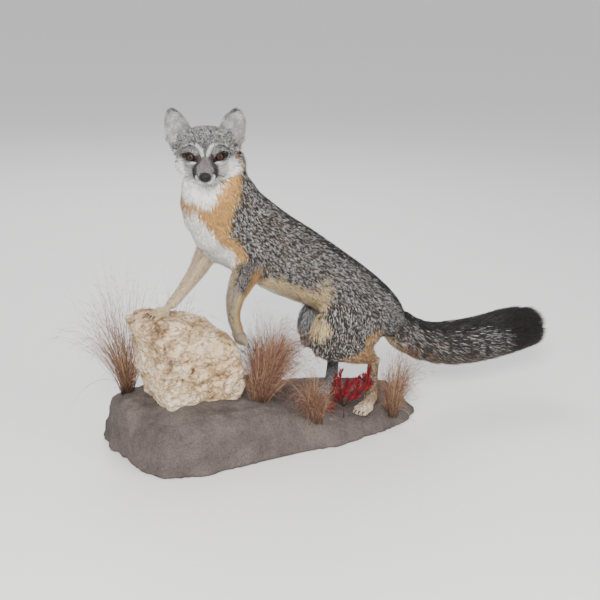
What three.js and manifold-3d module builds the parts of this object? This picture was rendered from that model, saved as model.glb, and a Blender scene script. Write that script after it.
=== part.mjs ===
// A mounted grey fox, life size: it crouches on a low earth base with its forefeet up on a block
// of rock, the head turned to its left and the brush held out behind. Dry grass and a red sprig
// stand round it. Each solid reaches out to the tips of the coat.
//
// Millimetres. The origin is on the floor near the middle of the base, +Z is up, +X runs along
// the base towards the brush, and the fox's left side is at -Y.

import * as THREE from "three";
import { mergeVertices } from "three/addons/utils/BufferGeometryUtils.js";
import Module from "manifold-3d";

const wasm = await Module();
wasm.setup();

// ---- Driving dimensions ---------------------------------------------------------------------

const BASE_LENGTH = 618; // earth base, along X
const BASE_WIDTH = 282;
const BASE_HIGH = 98; // its top under the rock
const BASE_LOW = 39; // its top under the hind feet
const ROCK_FRONT = -60; // Y of the rock's front and back faces
const ROCK_BACK = 52;
const BODY_Y = -50; // the fox's own mid plane, nearer the front edge of the base
const EYE_LINE = [-181.5, -100, 565]; // the root of the muzzle, midway between the eyes
const HEAD_TURN = -118; // degrees, the way the muzzle points, from +X
const HEAD_PITCH = 11.4; // degrees, muzzle down
const HEAD_TILT = 2.1; // degrees, the right ear lower
const EYE_RADIUS = 8.2;
const EYE_SPACING = 44.6;
const EAR_HEIGHT = 48; // above the hair of the crown
const EAR_WIDTH = 42;
const TAIL_RADIUS = 48;
const GAP = 0.3; // between touching pieces

const colour = (hex, roughness = 0.9) =>
  new THREE.MeshStandardMaterial({ color: hex, roughness, metalness: 0 });
const GRIZZLED = colour(0x7d7b76);
const PALE = colour(0xc9b795);
const BLACK_TIP = colour(0x4a4640);
const EYE_GLASS = colour(0x3a1410, 0.08);
const NOSE_BLACK = colour(0x1b1a1c, 0.4);
const EARTH = colour(0x6b6563);
const STONE = colour(0xcdb48a);
const STRAW = colour(0x8d6f55);
const RED_LEAF = colour(0x9a1626);

// ---- Making and joining solids ----------------------------------------------------------------

const v3 = (p) => new THREE.Vector3(...p);
const radians = THREE.MathUtils.degToRad;

/** A closed three.js geometry as a manifold-3d solid. */
function toSolid(geometry) {
  const bare = geometry.clone();
  bare.deleteAttribute("normal");
  bare.deleteAttribute("uv");
  const merged = mergeVertices(bare, 1e-4);
  const triVerts = new Uint32Array(merged.index.array);
  const vertProperties = new Float32Array(merged.attributes.position.array);
  const made = new wasm.Manifold(new wasm.Mesh({ numProp: 3, vertProperties, triVerts }));
  if (made.volume() > 0) return made;
  for (let i = 0; i < triVerts.length; i += 3) {
    [triVerts[i + 1], triVerts[i + 2]] = [triVerts[i + 2], triVerts[i + 1]];
  }
  return new wasm.Manifold(new wasm.Mesh({ numProp: 3, vertProperties, triVerts }));
}

/** The largest piece of a solid, so that a cut leaves no loose slivers. */
function largest(solid) {
  return solid.decompose().reduce((a, b) => (b.volume() > a.volume() ? b : a));
}

const join = (solids) => solids.reduce((a, b) => a.add(b));
const cut = (solid, ...tools) => largest(tools.reduce((a, b) => a.subtract(b), solid));

/** Moves each point of a geometry to where fn puts it. */
function mould(geometry, fn) {
  const at = geometry.attributes.position;
  const p = new THREE.Vector3();
  for (let i = 0; i < at.count; i++) {
    p.fromBufferAttribute(at, i);
    fn(p);
    at.setXYZ(i, p.x, p.y, p.z);
  }
  return geometry;
}

/** A ball stretched to three radii, turned to face `heading`, and set at `at`. */
function ball(at, radii, heading = [0, 0, 0], sides = 10) {
  const geometry = new THREE.SphereGeometry(1, sides, Math.round(sides * 0.7));
  geometry.scale(...radii);
  const [roll, pitch, yaw] = heading.map(radians);
  geometry.applyMatrix4(
    new THREE.Matrix4().makeRotationFromEuler(new THREE.Euler(roll, pitch, yaw, "ZYX")),
  );
  return geometry.translate(...at);
}

/**
 * A rounded form that follows a smooth line through its stations. A station is
 * { at, wide, up, down }: the middle, half the width across `side`, and the reach above and below.
 * Both ends close as a dome over `dome` millimetres, and `square` above 2 fills out the corners.
 */
function form(
  stations,
  { side = [0, 1, 0], sides = 14, steps = 16, dome = 12, square = 2, grow = 0 } = {},
) {
  const spine = new THREE.CatmullRomCurve3(stations.map((s) => v3(s.at)));
  const girth = new THREE.CatmullRomCurve3(
    stations.map((s) => new THREE.Vector3(s.wide, s.up, s.down ?? s.up)),
  );
  const capShare = Math.min(0.45, dome / spine.getLength());
  const across = v3(side);
  const upAt = (tangent) => {
    const width = across.clone().addScaledVector(tangent, -across.dot(tangent)).normalize();
    return { width, height: tangent.clone().cross(width) };
  };
  const upright = upAt(spine.getTangent(0.5)).height.z < 0 ? -1 : 1;
  const corner = (value) => Math.sign(value) * Math.abs(value) ** (2 / square);
  // Rings crowd towards the ends, where the domes close.
  const crowd = (share) => 0.5 - 0.5 * Math.cos(Math.PI * (0.08 + 0.84 * share));
  return mould(new THREE.SphereGeometry(1, sides, steps), (p) => {
    const latitude = Math.acos(THREE.MathUtils.clamp(p.y, -1, 1)) / Math.PI;
    const angle = Math.atan2(p.z, p.x);
    const share = THREE.MathUtils.clamp(
      (crowd(latitude) - crowd(0)) / (crowd(1) - crowd(0)), 0, 1,
    );
    const middle = spine.getPoint(share);
    const tangent = spine.getTangent(share);
    p.copy(middle);
    if (Math.min(latitude, 1 - latitude) < 1e-6) {
      p.addScaledVector(tangent, latitude < 0.5 ? -grow : grow);
      return;
    }
    const radii = girth.getPoint(share);
    const fromEnd = Math.min(1, Math.min(share, 1 - share) / capShare);
    const round = Math.sqrt(1 - (1 - fromEnd) ** 2);
    const { width, height } = upAt(tangent);
    const reach = Math.sin(angle) > 0 ? radii.y : radii.z;
    p.addScaledVector(width, corner(Math.cos(angle)) * (radii.x * round + grow));
    p.addScaledVector(height, upright * corner(Math.sin(angle)) * (reach * round + grow));
  });
}

/** A station on the fox's mid plane, moved sideways by `offset`. */
const station = (x, z, wide, up, down = up, offset = 0) => ({
  at: [x, BODY_Y + offset, z],
  wide,
  up,
  down,
});

/** Slow unevenness for earth and stone, between about -1 and 1. */
function rough(x, y, z, pitch) {
  const k = (2 * Math.PI) / pitch;
  return (
    (Math.sin(k * (x + 0.6 * z)) * Math.cos(k * (0.8 * y + 31)) +
      Math.sin(k * (1.7 * y - 0.9 * x) + 1.3) * Math.cos(k * 1.3 * z)) /
    2
  );
}

// ---- Base: a low mound of painted earth, flat underneath -----------------------------------------

/** Height of the base's top at a place along X: high under the rock, low under the hind feet. */
function earthTop(x) {
  const fall = THREE.MathUtils.smoothstep(x, -120, 150);
  return THREE.MathUtils.lerp(BASE_HIGH, BASE_LOW, fall) + 14 * THREE.MathUtils.smoothstep(-x, 220, 290);
}

// Its side: [reach from the middle, share of the height], from the floor up and over the top.
const EARTH_SIDE = [
  [1, 0], [1, 0.1], [0.99, 0.3], [0.96, 0.52], [0.9, 0.72], [0.8, 0.88], [0.66, 0.97], [0.4, 1],
  [0, 1],
];

/** How far the base reaches from its middle in the direction `angle`, seen from above. */
function earthRim(angle) {
  const squareness = Math.cos(angle) < 0 ? 5 : 3.2; // squarer under the rock
  const c = Math.abs(Math.cos(angle)) / (BASE_LENGTH / 2);
  const s = Math.abs(Math.sin(angle)) / (BASE_WIDTH / 2);
  const wander = 1 + 0.014 * Math.sin(5 * angle + 0.7) + 0.01 * Math.sin(9 * angle);
  return wander * (c ** squareness + s ** squareness) ** (-1 / squareness);
}

const EARTH_MIDDLE = [9, 2];
/** Towards the rock's end the side stands steeper, so the same share is met further out. */
const steepen = (angle) => (Math.cos(angle) < 0 ? 1 - 0.45 * Math.cos(angle) ** 2 : 1);

function baseForm(grow = 0) {
  const outline = [[0, 0], [0.6, 0], ...EARTH_SIDE].map(([r, h]) => new THREE.Vector2(r, h));
  return mould(new THREE.LatheGeometry(outline, 35), (p) => {
    const angle = Math.atan2(p.z, p.x);
    const share = p.y;
    const reach = earthRim(angle) * Math.hypot(p.x, p.z) ** steepen(angle);
    const x = EARTH_MIDDLE[0] + Math.cos(angle) * reach;
    const y = EARTH_MIDDLE[1] + Math.sin(angle) * reach;
    const lump = share > 0.3 ? 3 * rough(x, y, 0, 120) * share : 0;
    p.set(x, y, share * (earthTop(x) + grow) + lump);
  });
}

/** A point on the top of the base. */
function onEarth(x, y) {
  const [dx, dy] = [x - EARTH_MIDDLE[0], y - EARTH_MIDDLE[1]];
  const angle = Math.atan2(dy, dx);
  const reach = (Math.hypot(dx, dy) / earthRim(angle)) ** (1 / steepen(angle));
  const k = EARTH_SIDE.findIndex(([r]) => r < reach);
  const [[outer, low], [inner, high]] = [EARTH_SIDE[k - 1], EARTH_SIDE[k]];
  const share = THREE.MathUtils.mapLinear(reach, outer, inner, low, high);
  return [x, y, share * earthTop(x) + 3 * rough(x, y, 0, 120) * share];
}

// ---- Rock: a squared block with a ragged outline, its foot sunk in the base --------------------

function rockForm(grow = 0) {
  const outline = new THREE.Shape();
  const corners = [
    [-262, 218], [-272, 246], [-236, 264], [-196, 256], [-150, 240], [-112, 224], [-90, 200],
    [-76, 176], [-76, 118], [-88, 66], [-226, 66], [-240, 118], [-256, 152], [-250, 186],
  ];
  corners.forEach(([x, z], i) => (i ? outline.lineTo(x, z) : outline.moveTo(x, z)));
  const bevel = 11;
  const block = new THREE.ExtrudeGeometry(outline, {
    depth: ROCK_BACK - ROCK_FRONT - 2 * bevel,
    steps: 4,
    bevelThickness: bevel,
    bevelSize: bevel,
    bevelOffset: -bevel,
    bevelSegments: 2,
  });
  const heart = new THREE.Vector3(-165, 0, 165);
  // The shape is drawn in X and Z, and its thickness runs back along Y.
  return mould(block, (p) => {
    const [x, z, back] = [p.x, p.y, p.z];
    const y = ROCK_FRONT + bevel + back;
    p.set(
      x + 4 * rough(y, z, x, 70),
      y + 4 * rough(x, y, z, 90) + (y < 0 ? 0.04 * (z - 100) : 0), // the face leans back a little
      z + 0.05 * (y + 50),
    );
    p.addScaledVector(p.clone().sub(heart).normalize(), grow * 1.5);
  });
}

// ---- The fox's trunk and neck: one form, parted later --------------------------------------------

const BODY = [
  station(264, 184, 18, 15),
  station(244, 199, 44, 40),
  station(205, 224, 58, 55),
  station(150, 264, 62, 60),
  station(88, 307, 56, 62),
  station(27, 342, 55, 69),
  station(-28, 375, 57, 71),
  station(-74, 408, 59, 72),
  station(-112, 444, 60, 71, 76),
  station(-130, 482, 59, 66, 72),
  station(-137, 518, 54, 56),
  station(-134, 550, 47, 50),
  station(-130, 580, 26, 28),
];
const bodyForm = (grow = 0) => form(BODY, { sides: 20, steps: 24, dome: 16, grow });

/** A big block that covers the neck's side of a plane across the form above the shoulders. */
function neckSide(gap) {
  const size = 600;
  return new THREE.BoxGeometry(size, size, size)
    .translate(0, 0, size / 2 + gap)
    .rotateY(radians(-28))
    .translate(-110, BODY_Y, 452);
}

// ---- Tail: the brush -----------------------------------------------------------------------------

const brush = (x, z, radius, swing) => ({ at: [x, BODY_Y - swing, z], wide: radius * 0.92, up: radius });
const TAIL = [
  brush(222, 216, 28, 0),
  brush(256, 190, 36, 0),
  brush(298, 158, 41, 3),
  brush(345, 138, 44, 7),
  brush(397, 130, TAIL_RADIUS - 1, 12),
  brush(450, 129, TAIL_RADIUS + 1, 18),
  brush(505, 135, TAIL_RADIUS + 2, 25),
  brush(548, 140, TAIL_RADIUS, 31),
  brush(582, 139, 40, 34),
  brush(603, 137, 24, 36),
];
const tailForm = (grow = 0) => form(TAIL, { sides: 14, steps: 16, dome: 20, grow });

// ---- Legs ------------------------------------------------------------------------------------------

/** A foot: a pad with four toes in front. `heading` is [roll, pitch, yaw] in degrees. */
function paw(at, heading, length, width) {
  const place = new THREE.Matrix4()
    .makeRotationFromEuler(new THREE.Euler(...heading.map(radians), "ZYX"))
    .setPosition(...at);
  const pad = ball([0, 0, 0], [length * 0.42, width * 0.47, width * 0.4], [0, 0, 0], 7);
  const toes = [-1.5, -0.5, 0.5, 1.5].map((k) => {
    const lead = length * (0.36 - 0.05 * Math.abs(k));
    const toe = [length * 0.24, width * 0.155, width * 0.25];
    return ball([lead, (k * width) / 4.2, -1.5], toe, [0, 8, 0], 5);
  });
  return join([pad, ...toes].map((g) => toSolid(g.applyMatrix4(place))));
}

/** A stretch of leg: each station is [x, y, z, half the width, half the depth]. */
function limb(stations, { sides = 8, steps = 8, dome = 12 } = {}) {
  const girths = stations.map(([x, y, z, wide, up]) => ({ at: [x, y, z], wide, up }));
  return toSolid(form(girths, { sides, steps, dome }));
}

const FORELEG_LEFT = [
  [-80, -74, 400, 18, 30], // shoulder
  [-84, -84, 372, 23, 35],
  [-97, -88, 345, 21, 30], // elbow
  [-107, -88, 325, 19, 25],
  [-115, -86, 304, 16.5, 19.5],
  [-116, -82, 283, 14, 15.5],
  [-113, -77, 262, 13, 12.5], // wrist
  [-104, -70, 242, 13.5, 12],
  [-95, -65, 226, 12, 10],
];
const FORELEG_RIGHT = [
  [-118, -26, 402, 18, 28],
  [-126, -14, 382, 22, 28],
  [-140, -12, 360, 21, 22],
  [-151, -12, 342, 19, 18],
  [-168, -13, 322, 16, 15],
  [-186, -15, 303, 13.5, 12.5],
  [-200, -17, 290, 13, 11.5],
  [-216, -18, 279, 13, 10],
];
const THIGH_LEFT = [
  [218, -72, 238, 20, 36],
  [176, -82, 222, 28, 58],
  [126, -88, 212, 31, 66],
  [84, -90, 212, 29, 61],
  [44, -85, 224, 17, 36],
];
const SHANK_LEFT = [
  [78, -92, 182, 22, 28],
  [118, -96, 168, 20, 25],
  [158, -97, 152, 14, 18],
  [186, -96, 144, 11, 14],
];
const HIND_FOOT_LEFT = [
  [186, -96, 152, 10.5, 12],
  [181, -96, 128, 11, 12],
  [179, -97, 98, 12, 12.5],
  [178, -98, 68, 14, 14],
  [172, -99, 52, 14, 11],
];

/** The same leg on the fox's right side, moved along X by `forward` and down by `lower`. */
const acrossBody = (stations, forward, lower = 0) =>
  stations.map(([x, y, z, ...girth]) => [x - forward, 2 * BODY_Y - y, z - lower, ...girth]);

const foreleg = (stations, foot, heading) =>
  join([limb(stations, { sides: 8, steps: 14, dome: 16 }), paw(foot, heading, 46, 31)]);
const hindLeg = (thigh, shank, hindFoot, foot, heading) =>
  join([
    limb(thigh, { sides: 11, steps: 9, dome: 26 }),
    limb(shank, { sides: 7, steps: 6 }),
    limb(hindFoot, { steps: 7 }),
    paw(foot, heading, 48, 33),
  ]);

// ---- Head, in its own frame: +X out along the muzzle, +Y to the fox's left ---------------------------

const headPlace = new THREE.Matrix4()
  .makeRotationFromEuler(
    new THREE.Euler(radians(HEAD_TILT), radians(HEAD_PITCH), radians(HEAD_TURN), "ZYX"),
  )
  .setPosition(...EYE_LINE);

const skull = (x, z, wide, up, down) => ({ at: [x, 0, z], wide, up, down });
const HEAD = [
  skull(-84, -14, 34, 30, 32),
  skull(-68, -15, 50, 43, 44),
  skull(-51, -16, 56, 50, 46),
  skull(-34, -16, 57, 51, 45),
  skull(-18, -16, 52, 46, 41),
  skull(-4, -15, 42, 37, 36),
  skull(9, -15, 31, 25, 29),
  skull(22, -16, 22, 17.5, 22),
  skull(35, -18, 17.5, 13, 16.5),
  skull(46, -20, 14.5, 10, 13.5),
  skull(54, -20.5, 12, 8, 10),
];
const headForm = (grow = 0) =>
  form(HEAD, { sides: 20, steps: 18, dome: 7, square: 2.2, grow }).applyMatrix4(headPlace);

const eyeForm = (side, grow = 0) =>
  ball([8, (side * EYE_SPACING) / 2, 0], Array(3).fill(EYE_RADIUS + grow), [0, 0, 0], 12)
    .applyMatrix4(headPlace);

const noseForm = (grow = 0) =>
  ball([53, 0, -18], [6 + grow, 9.4 + grow, 7 + grow], [0, 12, 0], 10).applyMatrix4(headPlace);

/** An ear: a broad leaf, cupped towards the front. `side` is +1 for the fox's left ear. */
function earSolid(side) {
  const leafOutline = [
    [0, -24], [0.7, -24], [0.98, -8], [1.06, 6], [1.04, 18], [0.92, 30], [0.66, 40], [0.34, 46],
    [0, EAR_HEIGHT],
  ].map(([reach, height]) => new THREE.Vector2((reach * EAR_WIDTH) / 2, height));
  const leaf = (size) =>
    mould(new THREE.LatheGeometry(leafOutline, 10), (p) => {
      p.set(p.x * 0.42, p.z, p.y).multiplyScalar(size);
    });
  const hollow = leaf(0.86).translate(4.2, 0, 3);
  const place = new THREE.Matrix4()
    .makeRotationFromEuler(
      new THREE.Euler(radians(-side * 19), radians(-4), radians(side * 14), "ZYX"),
    )
    .setPosition(-30, side * 41, 17);
  return toSolid(leaf(1))
    .subtract(toSolid(hollow))
    .transform(headPlace.clone().multiply(place).toArray());
}

// ---- Planting: dry grass and one red sprig ---------------------------------------------------------

/** A bent stalk from a root to a tip, raised by `lift` millimetres in between. */
function stalk(root, tip, lift, radius) {
  const middle = v3(root).lerp(v3(tip), 0.55).add(new THREE.Vector3(0, 0, lift));
  return form(
    [
      { at: root, wide: radius, up: radius },
      { at: middle.toArray(), wide: radius * 0.8, up: radius * 0.8 },
      { at: tip, wide: radius * 0.5, up: radius * 0.5 },
    ],
    { side: [0.31, 0.95, 0], sides: 3, steps: 4, dome: 3 },
  );
}

/** A tuft of grass: stalks that fan out of one crown, the outer ones drooping, and its loose strays. */
function grassTuft([x, y], height, spread, lean, count, strays = []) {
  const root = v3(onEarth(x, y));
  const crown = toSolid(ball([x, y, root.z + 1], [9, 8, 9], [0, 0, 0], 5));
  const stalks = Array.from({ length: count }, (_, i) => {
    const turn = i * 2.39996 + x; // the golden angle spreads the stalks evenly
    const out = spread * Math.sqrt((i + 0.5) / count);
    const rise = height * (1 - 0.7 * (i / count)) + 6 * Math.sin(5 * i);
    const reach = new THREE.Vector3(Math.cos(turn) * out, Math.sin(turn) * out * 0.7, rise);
    const tip = root.clone().add(reach).add(v3([...lean, 0]));
    return toSolid(stalk(root.toArray(), tip.toArray(), out * 0.2, 1.7));
  });
  const loose = strays.map(([tip, lift]) => toSolid(stalk(root.toArray(), tip, lift, 1.5)));
  return join([crown, ...stalks, ...loose]);
}

/** The sprig: a twig that forks low down into six leafy fingers. Their turns are set from the root. */
function sprig(root) {
  const fork = [-7, -5, 26];
  const turns = [
    [fork, [7, -12, 35], [20, -17, 52], [35, -20, 65], [39, -20, 102]],
    [[20, -17, 52], [37, -20, 63], [47, -20, 73]],
    [fork, [-10, -7, 47], [3, -9, 68], [16, -10, 80], [26, -10, 83]],
    [fork, [-15, -6, 54], [-20, -7, 80], [-16, -8, 103]],
    [fork, [-23, -6, 43], [-31, -7, 63], [-27, -8, 95]],
    [[-20, -6, 39], [-34, -7, 37], [-34, -7, 25]],
  ];
  const at = (turn) => v3(root).add(v3(turn)).toArray();
  const fingers = turns.map((finger) =>
    limb(
      finger.map((turn, i) => [...at(turn), ...(i === finger.length - 1 ? [3, 2.5] : [6, 4.5])]),
      { sides: 6, steps: 6, dome: 5 },
    ),
  );
  const twig = stalk(root, at(fork), 0, 2.6);
  const knots = [root, at(fork)].map((place) => toSolid(ball(place, [5, 5, 5], [0, 0, 0], 6)));
  return join([...knots, toSolid(twig), ...fingers]);
}

// ---- Putting it together ---------------------------------------------------------------------------

const group = new THREE.Group();

/** Adds a solid to the group as a mesh of its own. */
function add(name, solid, material) {
  const { numProp, vertProperties, triVerts, numVert } = solid.getMesh();
  const positions = new Float32Array(numVert * 3);
  for (let i = 0; i < numVert; i++) {
    positions.set(vertProperties.subarray(i * numProp, i * numProp + 3), i * 3);
  }
  const geometry = new THREE.BufferGeometry()
    .setAttribute("position", new THREE.BufferAttribute(positions, 3))
    .setIndex(new THREE.BufferAttribute(triVerts, 1));
  geometry.computeVertexNormals();
  const mesh = new THREE.Mesh(geometry, material);
  mesh.name = name;
  group.add(mesh);
}

// The mount.
const earth = toSolid(baseForm());
const earthClear = toSolid(baseForm(GAP));
const rock = cut(toSolid(rockForm()), earthClear);
const rockClear = toSolid(rockForm(GAP));
add("base", earth, EARTH);
add("rock", rock, STONE);

// Head and what is set in it.
const eyes = { left: 1, right: -1 };
let head = toSolid(headForm()).subtract(toSolid(noseForm(GAP)));
for (const side of Object.values(eyes)) head = head.subtract(toSolid(eyeForm(side, GAP)));
head = largest(head);
const headClear = toSolid(headForm(GAP));
add("head", head, GRIZZLED);
add("nose", toSolid(noseForm()), NOSE_BLACK);
for (const [name, side] of Object.entries(eyes)) {
  add(`eye_${name}`, toSolid(eyeForm(side)), EYE_GLASS);
  add(`ear_${name}`, cut(earSolid(side), headClear), GRIZZLED);
}

// Neck, trunk and tail.
const whole = toSolid(bodyForm());
const wholeClear = toSolid(bodyForm(GAP));
const tail = toSolid(tailForm());
add("neck", cut(whole.intersect(toSolid(neckSide(GAP))), headClear), GRIZZLED);
add("trunk", cut(whole, toSolid(neckSide(0)), headClear), GRIZZLED);
add("tail", cut(tail, wholeClear), BLACK_TIP);

// Legs. The forefeet rest on the rock and the hind feet on the base.
const legs = {
  leg_front_left: foreleg(FORELEG_LEFT, [-94, -62, 222], [0, 58, 20]),
  leg_front_right: foreleg(FORELEG_RIGHT, [-228, -20, 273], [0, 10, 188]),
  leg_hind_left: hindLeg(THIGH_LEFT, SHANK_LEFT, HIND_FOOT_LEFT, [164, -101, 46], [0, 6, 200]),
  leg_hind_right: hindLeg(
    acrossBody(THIGH_LEFT, -20),
    acrossBody(SHANK_LEFT, 6),
    acrossBody(HIND_FOOT_LEFT, 30),
    [134, 1, 52],
    [0, 6, 176],
  ),
};
const clearOfLegs = [wholeClear, headClear, toSolid(tailForm(GAP)), earthClear, rockClear];
for (const [name, leg] of Object.entries(legs)) {
  add(name, cut(leg, ...clearOfLegs), PALE);
}

// Planting: where each tuft stands, its height, how wide it fans, which way it leans, its stalks,
// and the tip and the lift of each stray that hangs out of it.
const tufts = {
  grass_left: [[-258, 66], 288, 130, [-36, -14], 10, [[[-385, 60, 76], 46], [[-374, 64, 206], 24]]],
  grass_rock_back: [[-150, 96], 225, 92, [4, 10], 9, [[[-128, 184, 150], 24]]],
  grass_rock_side: [[-52, -66], 180, 80, [36, 2], 12],
  grass_middle: [[20, 30], 180, 90, [8, 16], 9],
  grass_front: [[44, -116], 132, 56, [-22, -8], 8, [[[-12, -176, 54], 14]]],
  grass_right: [[222, -108], 184, 62, [14, -8], 9, [[[226, -190, 14], 28]]],
};
for (const [name, tuft] of Object.entries(tufts)) {
  add(name, cut(grassTuft(...tuft), earthClear, rockClear), STRAW);
}
add("red_sprig", cut(sprig(onEarth(108, -112)), earthClear), RED_LEAF);

export default group;
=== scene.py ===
# A mounted grey fox with its forefeet up on a rock, on an earth base with dry grass and a red
# sprig. Metres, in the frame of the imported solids: +X runs to the brush, +Z is up, and the fox's
# left is at -Y.

import math

import bmesh
import bpy
import numpy as np
from mathutils import Euler, Matrix, Vector
from mathutils.kdtree import KDTree


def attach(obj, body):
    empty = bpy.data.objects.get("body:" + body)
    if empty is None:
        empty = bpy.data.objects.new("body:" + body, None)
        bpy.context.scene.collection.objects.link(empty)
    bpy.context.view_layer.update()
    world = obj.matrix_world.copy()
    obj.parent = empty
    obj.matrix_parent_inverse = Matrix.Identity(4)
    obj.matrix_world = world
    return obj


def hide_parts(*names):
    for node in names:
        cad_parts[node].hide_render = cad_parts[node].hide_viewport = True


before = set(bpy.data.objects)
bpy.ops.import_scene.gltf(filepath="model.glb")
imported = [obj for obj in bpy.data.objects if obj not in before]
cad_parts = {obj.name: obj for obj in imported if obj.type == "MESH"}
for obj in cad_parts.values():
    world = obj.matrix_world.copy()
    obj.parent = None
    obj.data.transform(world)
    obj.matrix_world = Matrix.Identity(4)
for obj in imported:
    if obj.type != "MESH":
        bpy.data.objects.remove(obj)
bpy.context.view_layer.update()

# ---- Camera ------------------------------------------------------------------------------------
# A standing viewer's eye, before the fox's left shoulder and looking down on it, with the frame
# leaning a little.

viewer_place = (-1.026, -1.790, 0.914)
heading, dip, lean = (math.radians(a) for a in (31.5, 17.6, 1.6))
level_right = Vector((math.cos(heading), -math.sin(heading), 0))
look = Vector(
    (math.sin(heading) * math.cos(dip), math.cos(heading) * math.cos(dip), -math.sin(dip))
)
level_up = level_right.cross(look)
frame_right = level_right * math.cos(lean) + level_up * math.sin(lean)
frame_up = level_up * math.cos(lean) - level_right * math.sin(lean)
lens = bpy.data.cameras.new("viewer")
lens.lens, lens.sensor_width = 69, 36
viewer = bpy.data.objects.new("viewer", lens)
viewer.matrix_world = Matrix(
    [(frame_right[i], frame_up[i], -look[i], viewer_place[i]) for i in range(3)]
    + [(0, 0, 0, 1)]
)
bpy.context.collection.objects.link(viewer)
bpy.context.scene.camera = viewer

# ---- Floor and studio light ----------------------------------------------------------------------
# A plain pale floor, a broad soft lamp over the viewer's left shoulder, a weaker one to the right
# and one behind, and an even pale room.


def plain_paint(name, shade, roughness):
    """A paint of one sRGB shade, for the stage."""
    paint = bpy.data.materials.new(name)
    paint.use_nodes = True
    shader = paint.node_tree.nodes["Principled BSDF"]
    shader.inputs["Base Color"].default_value = (*[c**2.2 for c in shade], 1)
    shader.inputs["Roughness"].default_value = roughness
    return paint


slab = bmesh.new()
bmesh.ops.create_grid(slab, x_segments=1, y_segments=1, size=40)
bmesh.ops.translate(slab, verts=slab.verts, vec=(0, 0, -0.0004))
floor_mesh = bpy.data.meshes.new("floor")
slab.to_mesh(floor_mesh)
floor_mesh.materials.append(plain_paint("pale_floor", (0.90, 0.89, 0.875), 0.6))
floor = bpy.data.objects.new("floor", floor_mesh)
bpy.context.collection.objects.link(floor)

room = bpy.data.worlds.new("room")
room.use_nodes = True
room.node_tree.nodes["Background"].inputs["Color"].default_value = (0.93, 0.95, 1.0, 1)
room.node_tree.nodes["Background"].inputs["Strength"].default_value = 0.88
bpy.context.scene.world = room

lit_at = Vector((0.05, -0.05, 0.3))  # the lamps are turned to the middle of the fox
for name, place, size, power in (
    ("lamp_left", (-1.6, -2.3, 1.8), 0.9, 165),
    ("lamp_right", (1.5, -2.3, 1.6), 1.6, 36),
    ("lamp_behind", (0.6, 2.0, 2.2), 1.8, 42),
):
    lamp = bpy.data.lights.new(name, "AREA")
    lamp.shape, lamp.size, lamp.energy = "DISK", size, power
    lamp_stand = bpy.data.objects.new(name, lamp)
    lamp_stand.location = place
    aim = lit_at - Vector(place)
    lamp_stand.rotation_euler = aim.to_track_quat("-Z", "Y").to_euler()
    bpy.context.collection.objects.link(lamp_stand)

# ---- Earth base --------------------------------------------------------------------------------
# A low mound of foam with a thick coat of gritty earth paint, troweled by hand: lumpy, pitted, and
# ragged where the coat meets the floor.


def cast_of(nodes, cell, swell=0.0):
    """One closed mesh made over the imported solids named, in even cells of that size."""
    lump = bmesh.new()
    for node in nodes:
        solid = bmesh.new()
        solid.from_mesh(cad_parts[node].data)
        bmesh.ops.remove_doubles(solid, verts=solid.verts, dist=2e-5)
        if swell:
            solid.normal_update()
            for corner in solid.verts:
                corner.co += corner.normal * swell
        block = bpy.data.meshes.new("block")
        solid.to_mesh(block)
        lump.from_mesh(block)
        solid.free()
        bpy.data.meshes.remove(block)
    mesh = made_mesh(lump, "cast")
    cast = bpy.data.objects.new("cast", mesh)
    bpy.context.collection.objects.link(cast)
    remake = cast.modifiers.new("even_grain", "REMESH")
    remake.mode, remake.voxel_size = "VOXEL", cell
    made = bpy.data.meshes.new_from_object(
        cast.evaluated_get(bpy.context.evaluated_depsgraph_get())
    )
    bpy.data.objects.remove(cast)
    bpy.data.meshes.remove(mesh)
    return made


def made_mesh(work, name):
    """The mesh that a bmesh holds; the bmesh is freed."""
    mesh = bpy.data.meshes.new(name)
    work.to_mesh(mesh)
    work.free()
    return mesh


def points_of(mesh):
    """Every point of a mesh, as rows of three."""
    points = np.empty(len(mesh.vertices) * 3)
    mesh.vertices.foreach_get("co", points)
    return points.reshape(-1, 3)


def normals_of(mesh):
    """The outward direction at every point of a mesh."""
    normals = np.empty(len(mesh.vertices) * 3)
    mesh.vertex_normals.foreach_get("vector", normals)
    return normals.reshape(-1, 3)


def move_points(mesh, points):
    """Moves every point of a mesh to its new place."""
    mesh.vertices.foreach_set("co", np.ascontiguousarray(points).ravel())
    mesh.update()


def ease(mesh, values, rounds, amount=0.5):
    """Evens out a value at each point with those of its neighbours; `amount` may vary by point."""
    ends = np.empty(len(mesh.edges) * 2, dtype=np.int64)
    mesh.edges.foreach_get("vertices", ends)
    a, b = ends.reshape(-1, 2).T
    values = values.reshape(len(mesh.vertices), -1).copy()
    count = np.maximum(np.bincount(np.r_[a, b], minlength=len(values)), 1)
    amount = np.broadcast_to(amount, len(values))
    for _ in range(rounds):
        for k in range(values.shape[1]):
            total = np.bincount(a, values[b, k], len(values))
            total = total + np.bincount(b, values[a, k], len(values))
            values[:, k] += amount * (total / count - values[:, k])
    return values


def lumps(points, size, seed=0):
    """Smooth random heights from -1 to 1, in lumps about `size` across."""
    p = points / size + 31.7 * seed + 200
    cell = np.floor(p).astype(np.int64)
    part = p - cell
    part = part * part * (3 - 2 * part)
    height = np.zeros(len(points))
    for dx in (0, 1):
        for dy in (0, 1):
            for dz in (0, 1):
                x, y, z = (cell + (dx, dy, dz)).T
                mix = (x * 73856093) ^ (y * 19349663) ^ (z * 83492791) ^ (seed * 2654435)
                mix = (mix ^ (mix >> 13)) * 1274126177 & 0x7FFFFFFF
                mix = (mix ^ (mix >> 16)) & 0xFFFF
                share = np.where(dx, part[:, 0], 1 - part[:, 0])
                share = share * np.where(dy, part[:, 1], 1 - part[:, 1])
                share = share * np.where(dz, part[:, 2], 1 - part[:, 2])
                height += share * (mix / 32767.5 - 1)
    return height


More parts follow.
